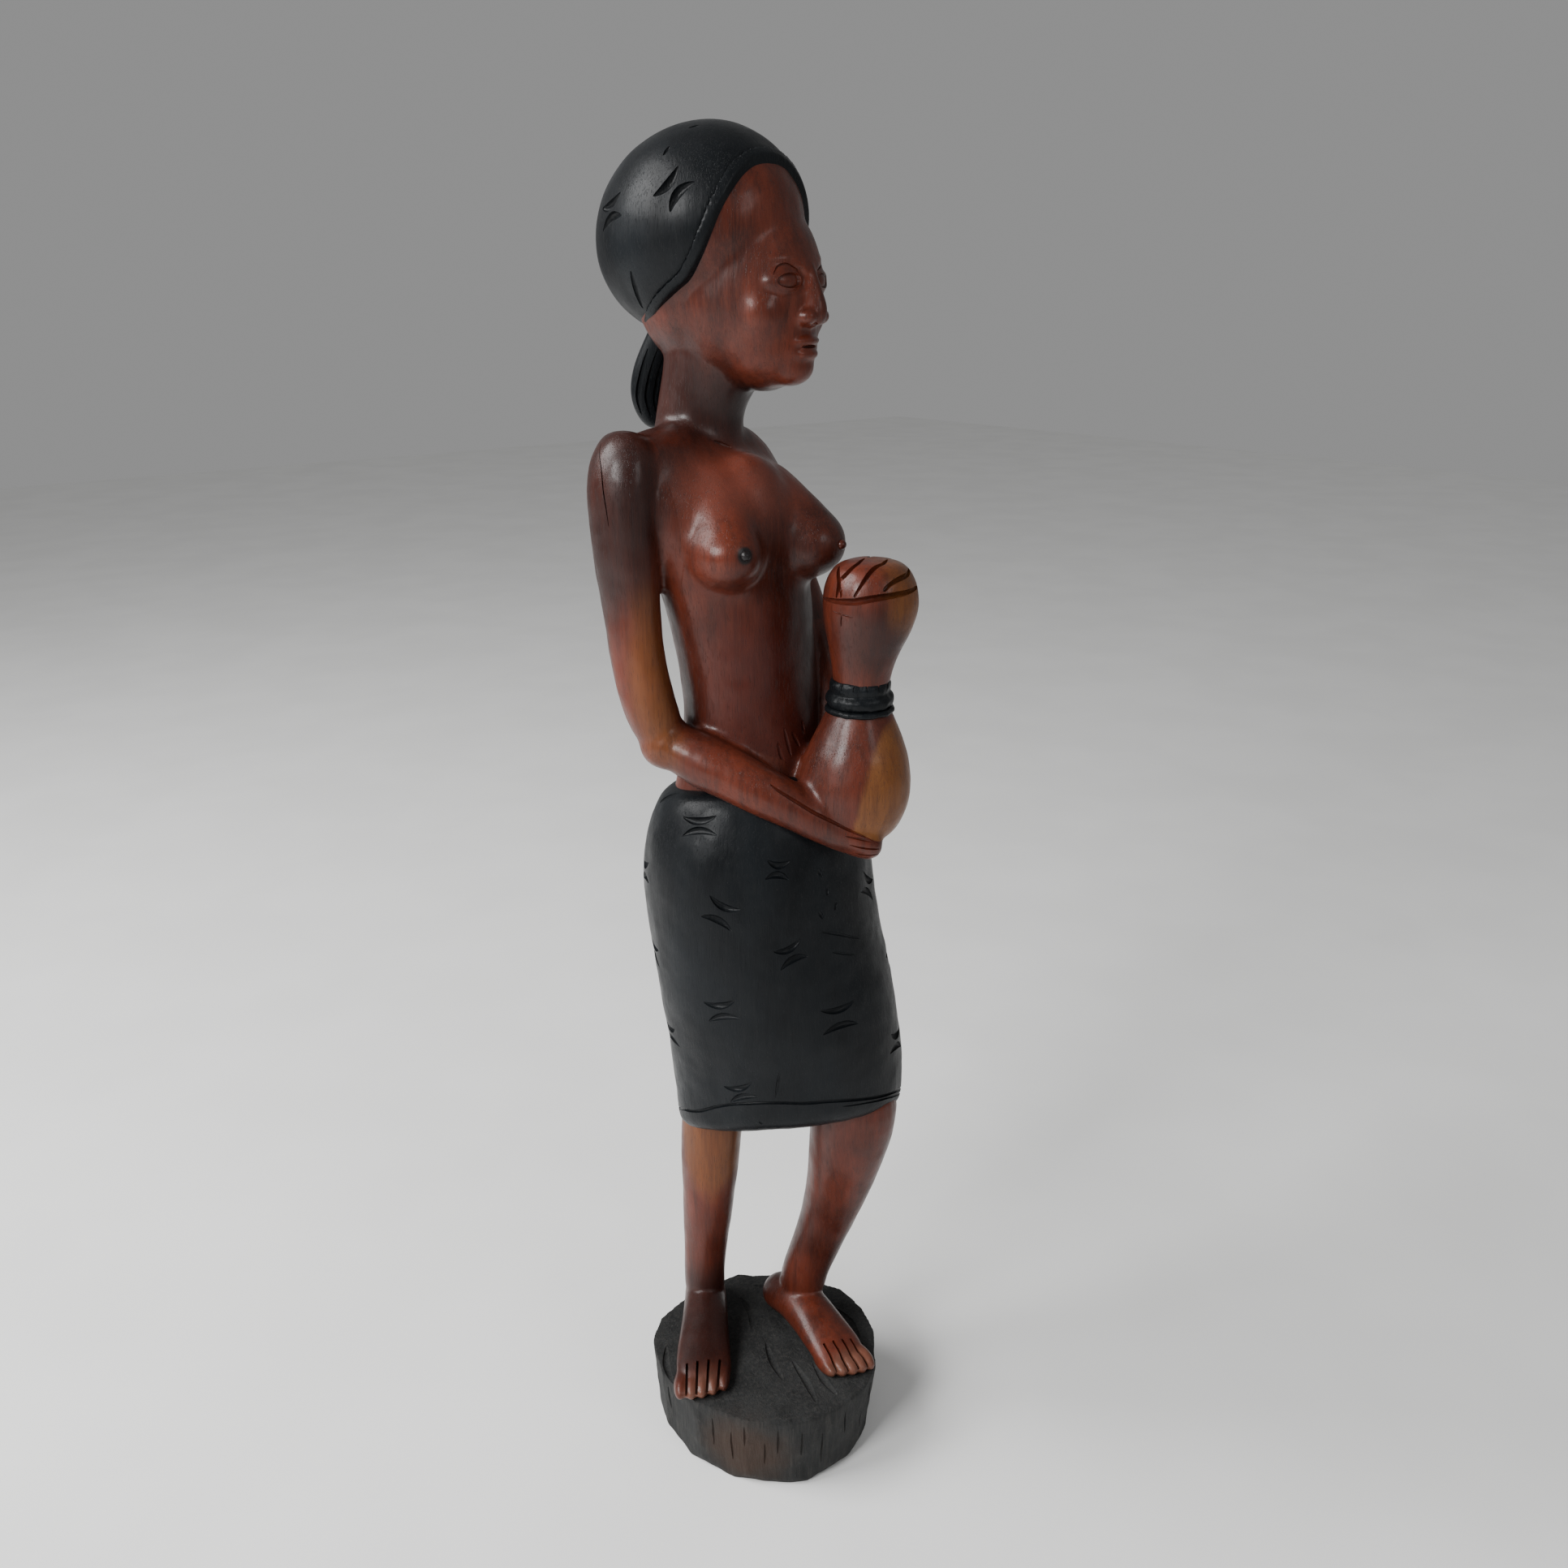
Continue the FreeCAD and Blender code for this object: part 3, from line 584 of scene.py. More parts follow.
def skirt_form(name, inset):
    """The skirt's form, drawn in all round by an inset. Rings lie in the slope of the hem or the waist."""
    rings = []
    for x, y, z, wide, deep, turn, slope in (
        (12.5, -1.5, 122.5, 40, 30, -40, HEM_SLOPE),
        (12.5, -1.5, 130, 40, 30, -40, HEM_SLOPE),
        (12, -1.5, 145, 40.5, 30.5, -38, HEM_SLOPE),
        (10.5, 0, 166, 41, 32, -30, WAIST_SLOPE),
        (9.5, 6, 190, 40.5, 34.5, -10, WAIST_SLOPE),
        (9, 11, 212, 41.5, 36.5, 0, WAIST_SLOPE),
        (8.5, 12, 230, 40.5, 35, 0, WAIST_SLOPE),
        (9, 13, 242, 37, 31.5, 0, WAIST_SLOPE),
        (9, 13, 249, 34, 28, 0, WAIST_SLOPE),
        (9, 13, 253, 30, 24, 0, WAIST_SLOPE),
    ):
        across = (math.cos(math.radians(turn)), math.sin(math.radians(turn)), 0)
        rings.append(((x, y, z), turn_square(slope, across), wide - inset, deep - inset))
    return skin(name, rings, sides=32, rounding=3)


def plane_turn(normal):
    """The rotation that lays a level box in a slope."""
    return turn_square(normal, (1, 0, 0))


cloth_over_leg = limb(
    "cloth_over_leg",
    [
        (-1.2, 26.2, 116, 12.6, 13.2), (-0.8, 25.8, 134, 12.8, 13.4), (1.6, 23.4, 160, 14, 14),
        (5, 19, 192, 14, 14),
        (8, 14, 214, 11, 11),
    ],
)
skirt = join("skirt", [skirt_form("skirt", 0), cloth_over_leg])
blend_in(skirt, 1.6, 12)
cut_away(skirt, [slab(Vector((12.5, -1.5, 123.6)) - HEM_SLOPE * 20, (200, 200, 40), plane_turn(HEM_SLOPE))])
blend_in(skirt, 1.0, 2)
uneven(skirt, 0.9, 22)
uneven(skirt, 0.35, 7)


def around_skirt(angle, height):
    """A place outside the skirt at an angle about its middle, at a height in the slope of the hem."""
    x = 60 * math.cos(math.radians(angle))
    y = 60 * math.sin(math.radians(angle))
    return (12 + x * 0.9, y * 0.9, height - HEM_SLOPE.x * x * 0.62 - HEM_SLOPE.y * y * 0.62)


def gouge_pair(piece, place, tilt, length, gap, width=3, depth=1.5, bow=1.8):
    """The cutters for two curved cuts back to back, as a round gouge leaves them, at a tilt in degrees."""
    middle, outward = on_skin(piece, place)
    level_way = Vector((0, 0, 1)).cross(outward).normalized()
    along = Matrix.Rotation(math.radians(tilt), 3, outward) @ level_way
    upward = outward.cross(along)
    cuts = []
    for side in (-1, 1):
        path = []
        for step in range(7):
            share = step / 3 - 1
            path.append(
                middle + along * share * length / 2 + upward * side * (gap / 2 - bow * (1 - share**2))
            )
        cuts.append(knife_line(piece, path, width, depth, ends=0.12, steps=1))
    return cuts


for half in (range(-200, -9, 10), range(-20, 171, 10)):
    hem_line = [around_skirt(angle, 130.6 + 0.35 * math.sin(angle * 0.11)) for angle in half]
    engrave(skirt, [hem_line], 1.5, 0.9, ends=0.9, steps=1)
engrave(skirt, [[around_skirt(angle, 127.6) for angle in range(-100, 13, 8)]], 1.4, 0.8, steps=1)
engrave(skirt, [[(-25, 24, 246), (-23, 18, 249), (-22, 14, 251.5)]], 2, 1.2)
engrave(
    skirt,
    [
        [(-9.2, -21.8, 160), (-9.3, -20.8, 154.8), (-9.6, -20, 149)],
        [(-13.4, -15.6, 139), (-11.6, -15.8, 137.6)]
    ],
    1.1, 0.45
)
SKIRT_PAIRS = (
    ((-23.4, 0.5, 243.6), 9, 12.5, 6.4), ((-7.9, -19.4, 230.7), -9, 8, 6.4),
    ((-23.5, -9.9, 217.1), -22, 11.3, 8.3),
    ((-6, -23.6, 202.2), 18, 10.3, 7.1), ((31.2, -19.2, 214.4), -35, 12, 7.4),
    ((-23.6, -9.8, 182.4), 13, 11.7, 7.3),
    ((9.2, -30.6, 177.2), 4, 14, 9), ((-17.2, -11.2, 150.2), 20, 10.9, 6.7), ((34, -26, 158), -12, 11, 7),
    ((42, -18, 184), 8, 11, 7.4), ((50, 6, 226), 14, 11, 7), ((52, 4, 202), -18, 11.5, 7.4),
    ((50, 4, 172), 10, 11, 7),
    ((47, 0, 144), -8, 10.5, 6.6), ((40, 36, 236), 6, 11, 7), ((38, 42, 206), -14, 11.5, 7),
    ((36, 34, 178), 16, 11, 7.2),
    ((32, 26, 148), 4, 11, 6.8), ((18, 48, 222), -10, 11.5, 7.2), ((16, 42, 192), 12, 11, 7),
    ((10, 34, 160), -6, 11, 7),
    ((-6, 46, 236), 14, 11, 7), ((-10, 44, 206), -16, 11.5, 7.2), ((-12, 34, 176), 8, 11, 7),
    ((-12, 26, 146), -10, 11, 6.8),
    ((-30, 26, 222), 12, 11, 7), ((-30, 22, 194), -12, 11, 7.2), ((-28, 16, 164), 6, 11, 7),
)
cut_away(skirt, [cut for pair in SKIRT_PAIRS for cut in gouge_pair(skirt, *pair)])
# Where the gouge slipped, the cloth's front is scratched and slightly torn.
engrave(
    skirt, [[(4.6, -25.9, 207.8), (12, -27, 205), (22, -26.3, 200.1)], [(8, -27, 200), (18, -27.6, 196)]],
    1.2, 0.5
)
chips = [
    [(5.6, -26, 229), (7.2, -26.4, 226)], [(9, -27, 223), (8.4, -27, 219.4)],
    [(12.6, -27.4, 216.6), (11, -27.2, 213.6)],
    [(4.4, -26.4, 215), (6, -26.8, 212)],
]
engrave(skirt, chips, 1.8, 0.7)
hem_band = part_off(
    skirt, "skirt_hem_band",
    (Vector((12.5, -1.5, 130.6)) - HEM_SLOPE * 20, (200, 200, 40), plane_turn(HEM_SLOPE))
)
waist_roll = part_off(
    skirt, "skirt_waist_roll",
    (Vector((9, 13, 246.5)) + WAIST_SLOPE * 20, (200, 200, 40), plane_turn(WAIST_SLOPE))
)
stained = black_stain("black_stain")
for piece, part in ((skirt, "skirt"), (hem_band, "skirt_hem_band"), (waist_roll, "skirt_waist_roll")):
    done(piece, part, stained)

# ------------------------------------------------------------------ trunk, neck, head and arms
# All of the bare upper body is one run of wood. It is roughed out from simple forms, blended, and parted
# at the shoulders, elbows, wrists and neck only afterwards, so that the skin runs through the joints.


def level(name, stations, **options):
    """A skin over rings that all lie level: (x, y, z, wide, deep, degrees of turn)."""
    rings = []
    for x, y, z, wide, deep, turn in stations:
        across = (math.cos(math.radians(turn)), math.sin(math.radians(turn)), 0)
        rings.append(((x, y, z), turn_square((0, 0, 1), across), wide, deep))
    return skin(name, rings, **options)


trunk = level(
    "trunk",
    [
        (9, 13, 236, 32, 25, 0), (9, 13, 246, 30, 23.5, 0), (9, 13, 258, 26.5, 21, 2),
        (9, 14, 275, 24, 19, 4),
        (8, 16, 295, 25, 20, 6), (6, 18, 315, 28, 21, 8), (3, 22, 335, 32, 20, 10), (0, 26, 349, 34, 17, 12),
        (0, 29, 358, 29, 13, 12), (1, 30, 365, 18, 12, 12),
    ],
)
right_arm = [
    limb(
        "right_upper_arm_form",
        [
            (-27, 25.5, 364, 6, 8), (-31, 25, 356.5, 10.4, 11.5), (-32.5, 24.5, 344, 10.4, 13),
            (-32, 23.2, 320, 8.8, 11.2), (-31.4, 21.4, 297, 8, 9.6), (-29, 18.8, 280, 8.2, 9),
            (-25.4, 15.8, 268.5, 8.6, 9),
        ],
    ),
    egg("right_elbow", (-24.8, 15.2, 268), (8.8, 9.2, 8.8)),
    limb(
        "right_forearm_form",
        [
            (-25.6, 16, 269, 8.8, 9), (-16.6, 0, 261.6, 8.7, 8.6), (-4, -15, 252.5, 7.8, 7.8),
            (7, -24, 244.5, 6.8, 6.6), (13, -28, 240.2, 6.2, 5.8), (17, -30.6, 237.5, 5.2, 4.8),
        ],
        across=(0, 0, 1),
    ),
    limb(
        "right_hand_form",
        [
            (8, -24, 243, 6.4, 6), (12.6, -28.2, 239.8, 7.6, 4.8), (16.6, -31, 237.2, 7.8, 4.8),
            (20, -33, 235.6, 6.8, 4.4), (22.4, -34.2, 235, 4.6, 3.4),
        ],
        across=(-0.6, -0.7, 0.5),
    ),
]
left_arm = [
    limb(
        "left_upper_arm_form",
        [
            (20, 34, 359, 6, 8), (25, 34.5, 349, 8.6, 10.6), (29, 32.5, 333, 9, 12),
            (34.5, 25, 310, 8.5, 10.4),
            (37, 13, 285, 8.5, 9.4), (33, -3, 260, 9, 9.4), (26, -17, 246, 9.6, 9.6),
        ],
    ),
    level(
        "left_forearm_form",
        [
            (22, -22.6, 235, 9, 9, -30), (21.6, -22.6, 240, 15, 14.4, -30),
            (21.4, -22.6, 248, 18.6, 17.4, -30),
            (21.4, -22.6, 257, 18.8, 17.6, -30), (22.1, -23, 267, 15.9, 15, -30),
            (22.5, -23, 276, 11.8, 11.5, -30),
            (22.8, -23, 283, 8.6, 8.6, -30),
        ],
    ),
    level(
        "left_fist_form",
        [
            (22.8, -23.2, 281, 9, 9, 0), (23, -23.5, 291, 9, 9, 0), (23.6, -24, 299, 11.6, 11.6, 0),
            (24.8, -24.5, 306, 14.2, 14, 0), (25.4, -24.5, 312, 15.4, 15, 0),
            (25.6, -24.5, 318, 14.8, 14.4, 0),
            (25.4, -24.5, 323.6, 12.6, 12.4, 0), (25, -24.5, 326.8, 8, 8, 0),
        ],
    ),
]
chest = [
    egg("right_breast", (-9.5, 4, 328), (12, 14, 11.4), Matrix.Rotation(math.radians(-12), 3, "Z")),
    egg("left_breast", (22.3, 3.5, 328.4), (12.4, 14.5, 11.8), Matrix.Rotation(math.radians(16), 3, "Z")),
    limb(
        "right_breast_slope",
        [(-3, 20, 350, 15, 12), (-6, 12, 340, 14, 12), (-10.5, 0, 330.5, 9, 9), (-12.5, -5, 328, 6, 6)]
    ),
    limb(
        "left_breast_slope",
        [(11, 22, 348, 14, 12), (16.5, 12, 339, 12.5, 11), (24, -0.5, 331, 9, 9), (26.5, -5.5, 329, 6, 6)]
    ),
    egg("breastbone", (5, 11, 333), (16, 14, 24)),
    limb(
        "right_collar",
        [(0, 27, 356, 10, 12), (-14, 26, 355, 10.6, 12), (-27, 25, 352, 11.4, 12), (-35, 24.6, 349, 8, 9)]
    ),
    limb(
        "left_collar",
        [(0, 28, 356, 10, 12), (12, 31, 354, 10.4, 12), (21, 34, 348, 10, 11), (27, 35, 344, 7, 8)]
    ),
    egg("right_armpit_fill", (-21, 22, 341), (12, 11, 14)),
]
neck = limb(
    "neck_form",
    [
        (1, 29, 350, 17, 16), (1, 30, 361, 14.4, 13.6), (2, 29.5, 371, 13.4, 13.4), (4, 27, 380, 15, 15),
        (6, 24, 392, 17, 18)
    ],
)

# The head's own frame: sideways towards its left, backwards, and up, from the middle of the head.
HEAD = Vector((9, 19, 400))
HEAD_TURN = Matrix.Rotation(math.radians(18), 3, "Z") @ Matrix.Rotation(math.radians(-4), 3, "X")


# The scarf swells over the skull, which fills it and comes out flush with its front edge.
SCARF = Vector((4, 31, 420.5))
SCARF_TURN = Matrix.Rotation(math.radians(8), 3, "Z") @ Matrix.Rotation(math.radians(-25), 3, "X")
SCARF_RADII = Vector((30, 35, 30))


def at_head(sideways, backwards, upwards):
    """A place given in the head's own frame."""
    return HEAD + HEAD_TURN @ Vector((sideways, backwards, upwards))


head_forms = [
    egg("cranium", SCARF, SCARF_RADII - Vector((0.9, 0.9, 0.9)), SCARF_TURN),
    egg("skull", at_head(0, 0, 5), (22.5, 27, 30), HEAD_TURN),
    egg("back_of_head", at_head(0, 10, 6), (23, 24, 26), HEAD_TURN),
    egg("face_mass", at_head(0, -8.5, -4), (19, 16.5, 22), HEAD_TURN),
    egg("jaw", at_head(0, -9, -12), (16.5, 15.5, 13.5), HEAD_TURN),
    egg("chin", at_head(0, -17.5, -19), (8, 6.5, 6), HEAD_TURN),
    egg("right_cheek", at_head(-10, -14, -3), (9, 9, 10), HEAD_TURN),
    egg("left_cheek", at_head(10, -14, -3), (9, 9, 10), HEAD_TURN),
]
trunk = join("trunk", [trunk, *chest])
blend_in(trunk, 1.8, 14)
body = join("torso", [trunk, neck, *right_arm, *left_arm, *head_forms])
blend_in(body, 1.1, 8)

uneven(body, 0.8, 20)
uneven(body, 0.3, 6)

# The face follows the carver's canon. The eyes lie half way down the head and are a fifth of its width, one
# eye apart. Brows, nose and chin lie on the thirds below the cloth, and the mouth a third below the nose.
CROWN, CLOTH, CHIN = 35, 26, -25
HALF_WIDTH = 22.5
EYE_UP = (CROWN + CHIN) / 2
EYE_OUT = HALF_WIDTH * 2 / 5
BROW_UP = CLOTH - (CLOTH - CHIN) / 3
NOSE_BASE = CLOTH - (CLOTH - CHIN) * 2 / 3
MOUTH_UP = NOSE_BASE - (NOSE_BASE - CHIN) / 3
sides = (-1, 1)
eye_turns = {side: HEAD_TURN @ Matrix.Rotation(math.radians(22 * side), 3, "Z") for side in sides}


def at_eyes(name, backwards, radii):
    """The same egg at both eyes, each turned with the round of the face."""
    return [egg(name, at_head(EYE_OUT * side, backwards, EYE_UP), radii, eye_turns[side]) for side in sides]


cut_away(body, at_eyes("socket", -27.2, (8.2, 4.8, 5.2)))
face = [
    limb(
        "nose",
        [
            (*at_head(0, -21, BROW_UP + 4), 3, 4.4), (*at_head(0, -21.4, BROW_UP - 1), 3.2, 6),
            (*at_head(0, -21.4, EYE_UP - 2), 3.8, 7.6), (*at_head(0, -21.6, NOSE_BASE + 6), 4.6, 9),
            (*at_head(0, -22, NOSE_BASE + 3), 4.8, 9), (*at_head(0, -21.4, NOSE_BASE), 3.6, 6.4),
        ],
        across=HEAD_TURN @ Vector((1, 0, 0)),
    ),
    egg("upper_lip", at_head(0, -20.6, MOUTH_UP + 1.7), (7.6, 5.6, 2.2), HEAD_TURN),
    egg("lower_lip", at_head(0, -20.4, MOUTH_UP - 2), (6.6, 5.5, 2.5), HEAD_TURN),
    *at_eyes("lids", -20.7, (7.2, 4.8, 4.6)),
]
for side in sides:
    face.append(egg("nostril", at_head(3.7 * side, -25.4, NOSE_BASE + 2.8), (2.6, 3.8, 2.6), HEAD_TURN))
    face.append(
        limb(
            "brow",
            [
                (*at_head(2.6 * side, -24.6, BROW_UP + 1), 2.2, 2.2),
                (*at_head(8.2 * side, -22.8, BROW_UP + 2.4), 2.3, 2.3),
                (*at_head(13.6 * side, -18.6, BROW_UP + 1.8), 2, 2),
                (*at_head(16.4 * side, -14, BROW_UP), 1.5, 1.5),
            ],
        )
    )
body = join("torso", [body, *face])
blend_in(body, 0.65, 4)
cut_away(body, at_eyes("eye_opening", -26, (6, 3, 2.3)))
cut_away(body, at_eyes("eyeball", -20.9, (5.5, 3.9, 3.8)), "UNION")
cut_away(body, [egg("mouth_line", at_head(0, -26, MOUTH_UP), (7.6, 2.4, 0.5), HEAD_TURN)])

# A knife line frees the lower arm and its hand from the raised arm that rests on them.
engrave(
    body, [[(-9, -17, 259), (-7.3, -19.4, 257), (0.3, -26.1, 250.4), (8.4, -32.3, 244.8), (17, -39, 239.6)]],
    1.5, 1.4, steps=4
)
# The hollow of the back follows the spine.
engrave(body, [[(0, 44, 345), (3, 40, 320), (6, 36, 290), (8, 34, 268)]], 7, 1, steps=5)

# The parts of the body, each sawn off where its joint is.
elbow = Vector((-25.6, 16, 269))
forearm_way = Vector((0.629, -0.634, -0.449))
forearm_turn = turn_square(forearm_way, (0.71, 0.704, 0))
tilted_shoulder = turn_square((0.997, 0, 0.08), (0, 1, 0))
neck_turn = turn_square((0, -0.26, 1), (1, 0, 0))
left_fist = part_off(body, "left_fist", ((24, -27, 311), (44, 33.2, 46)), ((24, -14, 303), (44, 10, 30)))
lift = forearm_turn @ Vector((0, 1, 0))
right_hand = part_off(
    body, "right_hand", (elbow + forearm_way * 78 - Vector((3, 3, 0)) - lift * 5, (20, 19, 40), forearm_turn)
)
right_forearm = part_off(
    body, "right_forearm", (elbow + forearm_way * 31 - Vector((3, 3, 1)), (20, 22, 54), forearm_turn)
)
left_forearm = part_off(body, "left_forearm", ((24, -27, 258), (46, 38, 60)))
right_upper_arm = part_off(body, "right_upper_arm", ((-51, 20, 312), (90, 120, 60), tilted_shoulder))
left_upper_arm = part_off(
    body, "left_upper_arm", ((40, 12, 270), (23, 70, 61)), ((40, 45, 328.5), (40, 50, 57))
)
head = part_off(
    body, "head", (Vector((5, 27, 382)) + neck_turn @ Vector((0, 0, 60)), (120, 120, 120), neck_turn)
)
neck = part_off(body, "neck", ((3, 27, 381), (38, 50, 38)))

# The last cuts with the knife: nose, eyelids, the fingers of both hands, drying cracks, and the
# rough strokes left in the corner between the belly and the raised forearm.
lid_creases = []
for side in sides:
    crease = ((4.4, 2.6), (6.4, 4), (9.2, 4.6), (12.2, 3.8), (14.4, 1.6))
    lid_creases.append([at_head(across * side, -22, EYE_UP + up) for across, up in crease])
engrave(head, lid_creases, 0.8, 0.6)
nose_holes = [
    egg("nose_hole", at_head(2.1 * side, -27.6, NOSE_BASE), (1.1, 1.8, 1.2), HEAD_TURN) for side in sides
]
cut_away(head, nose_holes)
fist_lines = [
    [
        (13, -16, 314.6), (10.8, -24.6, 315.2), (12.4, -30.8, 315.7), (15.9, -34.9, 316.9),
        (27.6, -38, 317.8), (36, -33, 318)
    ],
    [(10.8, -24.6, 315.4), (12.6, -24.6, 320.4), (16, -20, 325)],
    [(11, -26.4, 316.2), (14, -25.8, 321), (18.2, -26.1, 325.6), (25, -22, 328)],
    [(12.6, -30.5, 316.8), (18, -31, 322), (23.7, -31.3, 325.7), (30, -27, 327)],
    [(17, -35, 318), (23, -36, 321), (29.6, -35.2, 322.1), (34, -31, 323)],
    [(36, -16, 315), (31, -19, 323), (26, -22, 327)],
    [(40, -24, 316), (36, -25, 322), (30, -25.6, 327)],
]
engrave(left_fist, fist_lines[:1], 2.6, 2.6)
engrave(left_fist, fist_lines[1:], 1.9, 2, apart=False)
star = (11, -27.2, 311.6)
engrave(
    left_fist, [[star, end] for end in ((10.9, -23.4, 312), (11, -26.6, 307.4), (12, -31, 311))], 0.8, 0.6,
    apart=False
)
hand_lines = [
    [(8.2, -32.6, 242.2), (19, -39.8, 238.9)], [(9.3, -33.3, 239.4), (19.4, -40.6, 236.3)],
    [(11.9, -33.4, 235.8), (19.6, -40, 233.6)],
]
engrave(right_hand, hand_lines, 1, 0.9)
engrave(body, [[(-3.7, 16.2, 360.4), (-1, 15.6, 359.3), (2.1, 15.2, 357.6)]], 1.5, 0.9)
crack = [(-37.3, 26.9, 361.3), (-40.7, 21.8, 353.7), (-41.3, 19.9, 344.5), (-41, 19.1, 337.4)]
engrave(right_upper_arm, [crack], 0.5, 1.2)
rough_strokes = [
    [(9.3, -5.7, 270.2), (12.2, -6.2, 264)], [(6.4, -6, 272), (8.1, -8, 262)],
    [(15, -7.4, 273), (15.6, -8, 267)],
    [(3, -8.4, 268), (4.6, -10, 260)],
]
engrave(body, rough_strokes, 2.2, 0.7)
nipples = [
    egg(
        "nipple", on_skin(body, place)[0], (1.6, 1.6, 1.6)
    ) for place in ((-11.6, -9.4, 329.4), (27, -11, 328.6))
]
cut_away(body, nipples, "UNION")

# On the trunk, the first two dark regions are painted shade under the jaw and the head, as on the plain wood;
# the third darkens the right shoulder and the fourth the left side, where the upper arm lies against it.
trunk_wood = heartwood(
    "heartwood_trunk",
    dark=[
        ((-4, 30, 372), (26, 26, 17), 0, 0.4), ((16, 14, 372), (14, 14, 10), 0, 0.5),
        ((-30, 30, 345), (12, 22, 30), 0, 0.4), ((22, 14, 300), (12, 18, 34), 0, 0.5),
    ],
    tints=[
        (((0, -4, 276), (24, 16, 34), 0, 0.5), (0.058, 0.0105, 0.007)),
        (((2, 12, 345), (26, 16, 12), 0, 0.5), (0.15, 0.04, 0.026)),
    ],
    spots=[((-11.6, -9.4, 329.4), (2.6, 2.6, 2.6), 0, 0.25)],
)
arm_wood = heartwood(
    "heartwood_right_arm",
    sapwood=[((-33, 9, 289), (9, 8, 27), 0, 0.5)],
    dark=[((-38, 26, 345), (14, 22, 42), 0, 0.4)],
    paleness=0.55,
)
# The fist is darker on its lower front, below the deep groove.
fist_wood = heartwood(
    "heartwood_fist",
    sapwood=[((41, -37, 317), (20, 18, 16), -40, 0.3)],
    paleness=0.7,
    dark=[((16, -38, 302), (16, 14, 13), 0, 0.5)],
)
forearm_wood = heartwood(
    "heartwood_raised_arm", sapwood=[((39.5, -46.2, 236), (33, 26, 49), -40, 0.035, 0.12)]
)
for piece, part, wood in (
    (body, "torso", trunk_wood), (neck, "neck", plain_wood), (right_upper_arm, "right_upper_arm", arm_wood),
    (right_forearm, "right_forearm", arm_wood), (right_hand, "right_hand", plain_wood),
    (left_upper_arm, "left_upper_arm", plain_wood), (left_forearm, "left_forearm", forearm_wood),
    (left_fist, "left_fist", fist_wood),
):
    done(piece, part, wood)

# ------------------------------------------------------------------ headscarf
# The scarf is one smooth swelling over the skull, stained black. Its front edge is a thin raised lip that
# runs from the nape, over the temple, to the top of the forehead, and its tied end hangs down behind.

SCARF_EDGE = (
    (34, -16), (20, -7.5), (-1.4, 4.6), (-8, 12), (-11.5, 19), (-13.8, 26), (-15.4, 32), (-16.4, 44)
)


def rounded(line):
    """The same line with each corner cut off, at a quarter of the way to its neighbours."""
    points = [Vector(point) for point in line]
    cut = [points[0]]
    for start, end in zip(points, points[1:]):
        cut += [start.lerp(end, 0.25), start.lerp(end, 0.75)]
    return [*cut, points[-1]]


def in_front_of_scarf(setback):
    """Chisels that clear the face side of the scarf's edge, a short stroke for each stretch of it."""
    edge = rounded(rounded(SCARF_EDGE))
    chisels = []
    for (back_1, up_1), (back_2, up_2) in zip(edge, edge[1:]):
        start = HEAD + Matrix.Rotation(math.radians(8), 3, "Z") @ Vector((0, back_1, up_1))
        end = HEAD + Matrix.Rotation(math.radians(8), 3, "Z") @ Vector((0, back_2, up_2))
        sideways = Matrix.Rotation(math.radians(8), 3, "Z") @ Vector((1, 0, 0))
        along = (end - start).normalized()
        forwards = along.cross(sideways).normalized()
        if forwards.y > 0:
            forwards.negate()
        middle = (start + end) / 2 + forwards * (40 - setback)
        chisels.append(slab(middle, (160, 200, 80), turn_square(forwards, sideways)))
    return chisels


def scarf_behind_edge(name, proud, setback):
    """The scarf's swelling, raised a little all over, behind its edge or a line set back from it."""
    form = egg(name, SCARF, SCARF_RADII + Vector((proud, proud, proud)), SCARF_TURN)
    finish_modifier(form, "SUBSURF", levels=1, render_levels=1)
    for chisel in in_front_of_scarf(setback):
        cut_away(form, [chisel])
    return form


headscarf = scarf_behind_edge("headscarf", 0, 2.2)
scarf_band = scarf_behind_edge("headscarf_band", 0.8, 0)
cut_away(scarf_band, [scarf_behind_edge("behind_band", 1.6, 2.2)])
blend_in(headscarf, 0.9, 1)
blend_in(scarf_band, 0.5, 3)
uneven(headscarf, 0.6, 18)
cut_away(head, [scarf_behind_edge("hollow", 0.4, 4.4)])
done(head, "head", plain_wood)
SCARF_PAIRS = (
    ((-18.6, 13.2, 431.1), -129, 11.2, 7.6), ((-24.6, 36.1, 425.6), 21, 11.9, 7.3),
    ((-8, 58, 424), 10, 11.5, 7),
    ((18, 60, 418), -16, 11.5, 7), ((33, 38, 424), 12, 11.5, 7), ((30, 18, 434), -40, 11, 7),
    ((4, 52, 443), 28, 11, 7),
    ((14, 34, 451), -20, 11, 6.6), ((2, 62, 404), -8, 11, 7),
)
cut_away(
    headscarf, [cut for pair in SCARF_PAIRS for cut in gouge_pair(headscarf, *pair, width=3.6, depth=1.9)]
)
engrave(headscarf, [[(-23.9, 28.2, 409.5), (-22.6, 29.4, 404), (-17.4, 31.9, 398.5)]], 2.2, 1)
engrave(
    headscarf, [[(-17, 20, 440), (-15.2, 19.8, 443.4)], [(-7.6, 20.6, 448.2), (-4.8, 19.2, 449)]], 1.5, 0.8
)

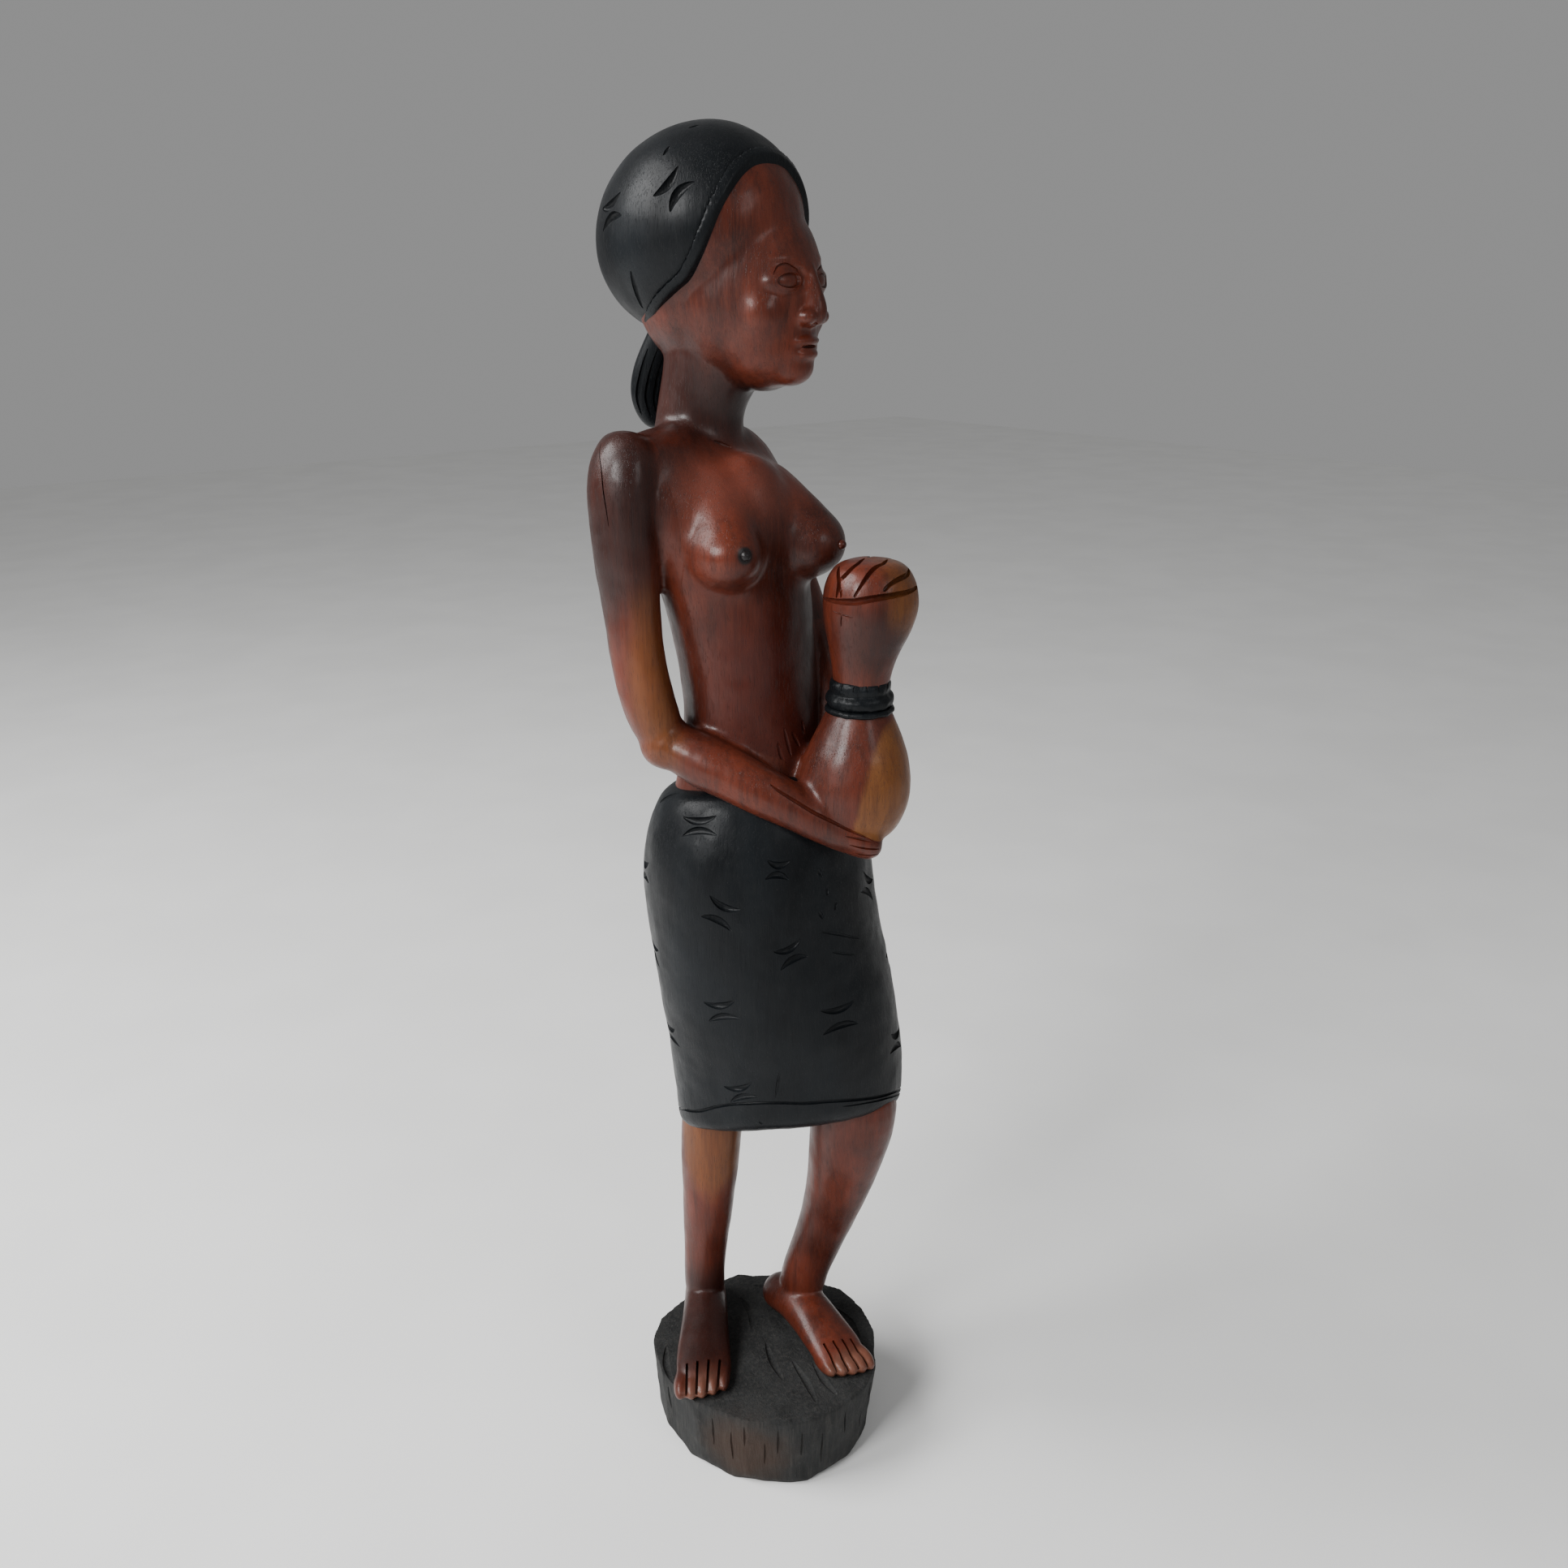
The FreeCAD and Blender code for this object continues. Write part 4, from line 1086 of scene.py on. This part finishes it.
scarf_tail = limb(
    "headscarf_tail",
    [
        (0.5, 42, 396, 6, 4), (0, 45, 389, 7, 4.8), (-0.5, 48.6, 381, 9, 5.8), (-0.5, 50.6, 373, 9.8, 6),
        (0, 50, 366, 8, 5), (0.5, 48.6, 361.5, 4.4, 3),
    ],
    rounding=3,
)
blend_in(scarf_tail, 0.5, 1)
for across in (-7, -3.6, 0.2, 4, 7.6):
    fold = [
        (across * 0.7, 30 + abs(across) * 0.2, 390), (across, 34, 380), (across, 36, 372),
        (across * 0.8, 36, 364)
    ]
    back_fold = [(x, y + 34, z) for x, y, z in fold]
    engrave(scarf_tail, [back_fold], 1.5, 1)
for fold in (
    [(-8, 44, 387), (-10, 46, 379), (-11, 48, 371), (-9, 48, 365)],
    [(-6, 40, 387), (-8, 42, 379), (-9, 44, 371), (-7, 44, 364)],
    [(-3, 38, 386), (-5, 40, 378), (-6, 42, 370), (-4, 42, 364)],
):
    engrave(scarf_tail, [fold], 1.5, 1)
for piece, part in ((headscarf, "headscarf"), (scarf_band, "headscarf_band"), (scarf_tail, "headscarf_tail")):
    done(piece, part, stained)

# ------------------------------------------------------------------ bracelet
# The bracelet is cut in the round of the wrist and stained black: a thick roll, a rougher collar above it
# whose edge is ragged, and a thin lip below it.

WRIST = Vector((22.8, -23.1, 282.4))


def ring_round_wrist(name, rise, reach, thick, tall):
    """A ring cut round the wrist: how far up it sits, how far out its middle is, and its thickness."""
    deselect()
    bpy.ops.mesh.primitive_torus_add(
        major_segments=72,
        minor_segments=18,
        major_radius=reach * MM,
        minor_radius=thick * MM,
        location=(WRIST + Vector((0, 0, rise))) * MM,
    )
    ring = bpy.context.object
    ring.scale = (1, 1, tall)
    bpy.ops.object.transform_apply(location=True, rotation=True, scale=True)
    ring.name = name
    return ring


bracelet = join(
    "bracelet_ring",
    [ring_round_wrist("roll", 0, 8.4, 2.4, 1.1), ring_round_wrist("collar", 4.2, 8.4, 1.4, 1.8)]
)
blend_in(bracelet, 0.4, 2)
uneven(bracelet, 0.7, 3)
nicks = []
for angle in range(0, 360, 24):
    out = Vector((math.cos(math.radians(angle)), math.sin(math.radians(angle)), 0))
    nicks.append([WRIST + out * 11 + Vector((0, 0, 4.4)), WRIST + out * 10 + Vector((0.4, 0.2, 7))])
engrave(bracelet, nicks, 0.9, 0.5)
lower_ring = ring_round_wrist("bracelet_lower_ring", -3.2, 9.7, 1.4, 0.8)
blend_in(lower_ring, 0.4, 1)
uneven(lower_ring, 0.5, 3)
done(bracelet, "bracelet_ring", stained)
done(lower_ring, "bracelet_lower_ring", stained)

# ------------------------------------------------------------------ floor and light
# The figure stands on a plain pale floor. A wide soft window light and a lamp are at its right, a weak lamp
# is in front, and a white surround fills in the rest.

deselect()
bpy.ops.mesh.primitive_plane_add(size=6, location=(0, 0, -0.0002))
floor = bpy.context.object
floor.name = "floor"
floor_finish, floor_tree, floor_surface, floor_place = new_finish("pale_floor")
floor_tone = ramp(floor_tree, figure(floor_tree, floor_place, 0.01, detail=2), 0.3, 0.7)
floor_tree.links.new(
    mixed(floor_tree, floor_tone, (0.86, 0.86, 0.85), (0.9, 0.9, 0.89)), floor_surface.inputs["Base Color"]
)
floor_surface.inputs["Roughness"].default_value = 0.9
floor.data.materials.append(floor_finish)

for name, place, size, power in (
    ("window_at_right", (-0.8, 0.5, 1.0), 0.75, 22),
    ("lamp_at_right", (-1.05, -0.2, 0.8), 0.4, 12),
    ("lamp_in_front", (0.1, -1.4, 0.9), 0.5, 3),
):
    bpy.ops.object.light_add(type="AREA", location=place)
    lamp = bpy.context.object
    lamp.name = name
    lamp.data.size = size
    lamp.data.energy = power
    lamp.rotation_euler = (Vector((0, 0, 0.24)) - lamp.location).to_track_quat("-Z", "Y").to_euler()
surround = bpy.data.worlds.new("white_surround")
surround.use_nodes = True
surround.node_tree.nodes["Background"].inputs[0].default_value = (1, 1, 1, 1)
surround.node_tree.nodes["Background"].inputs[1].default_value = 0.29
bpy.context.scene.world = surround
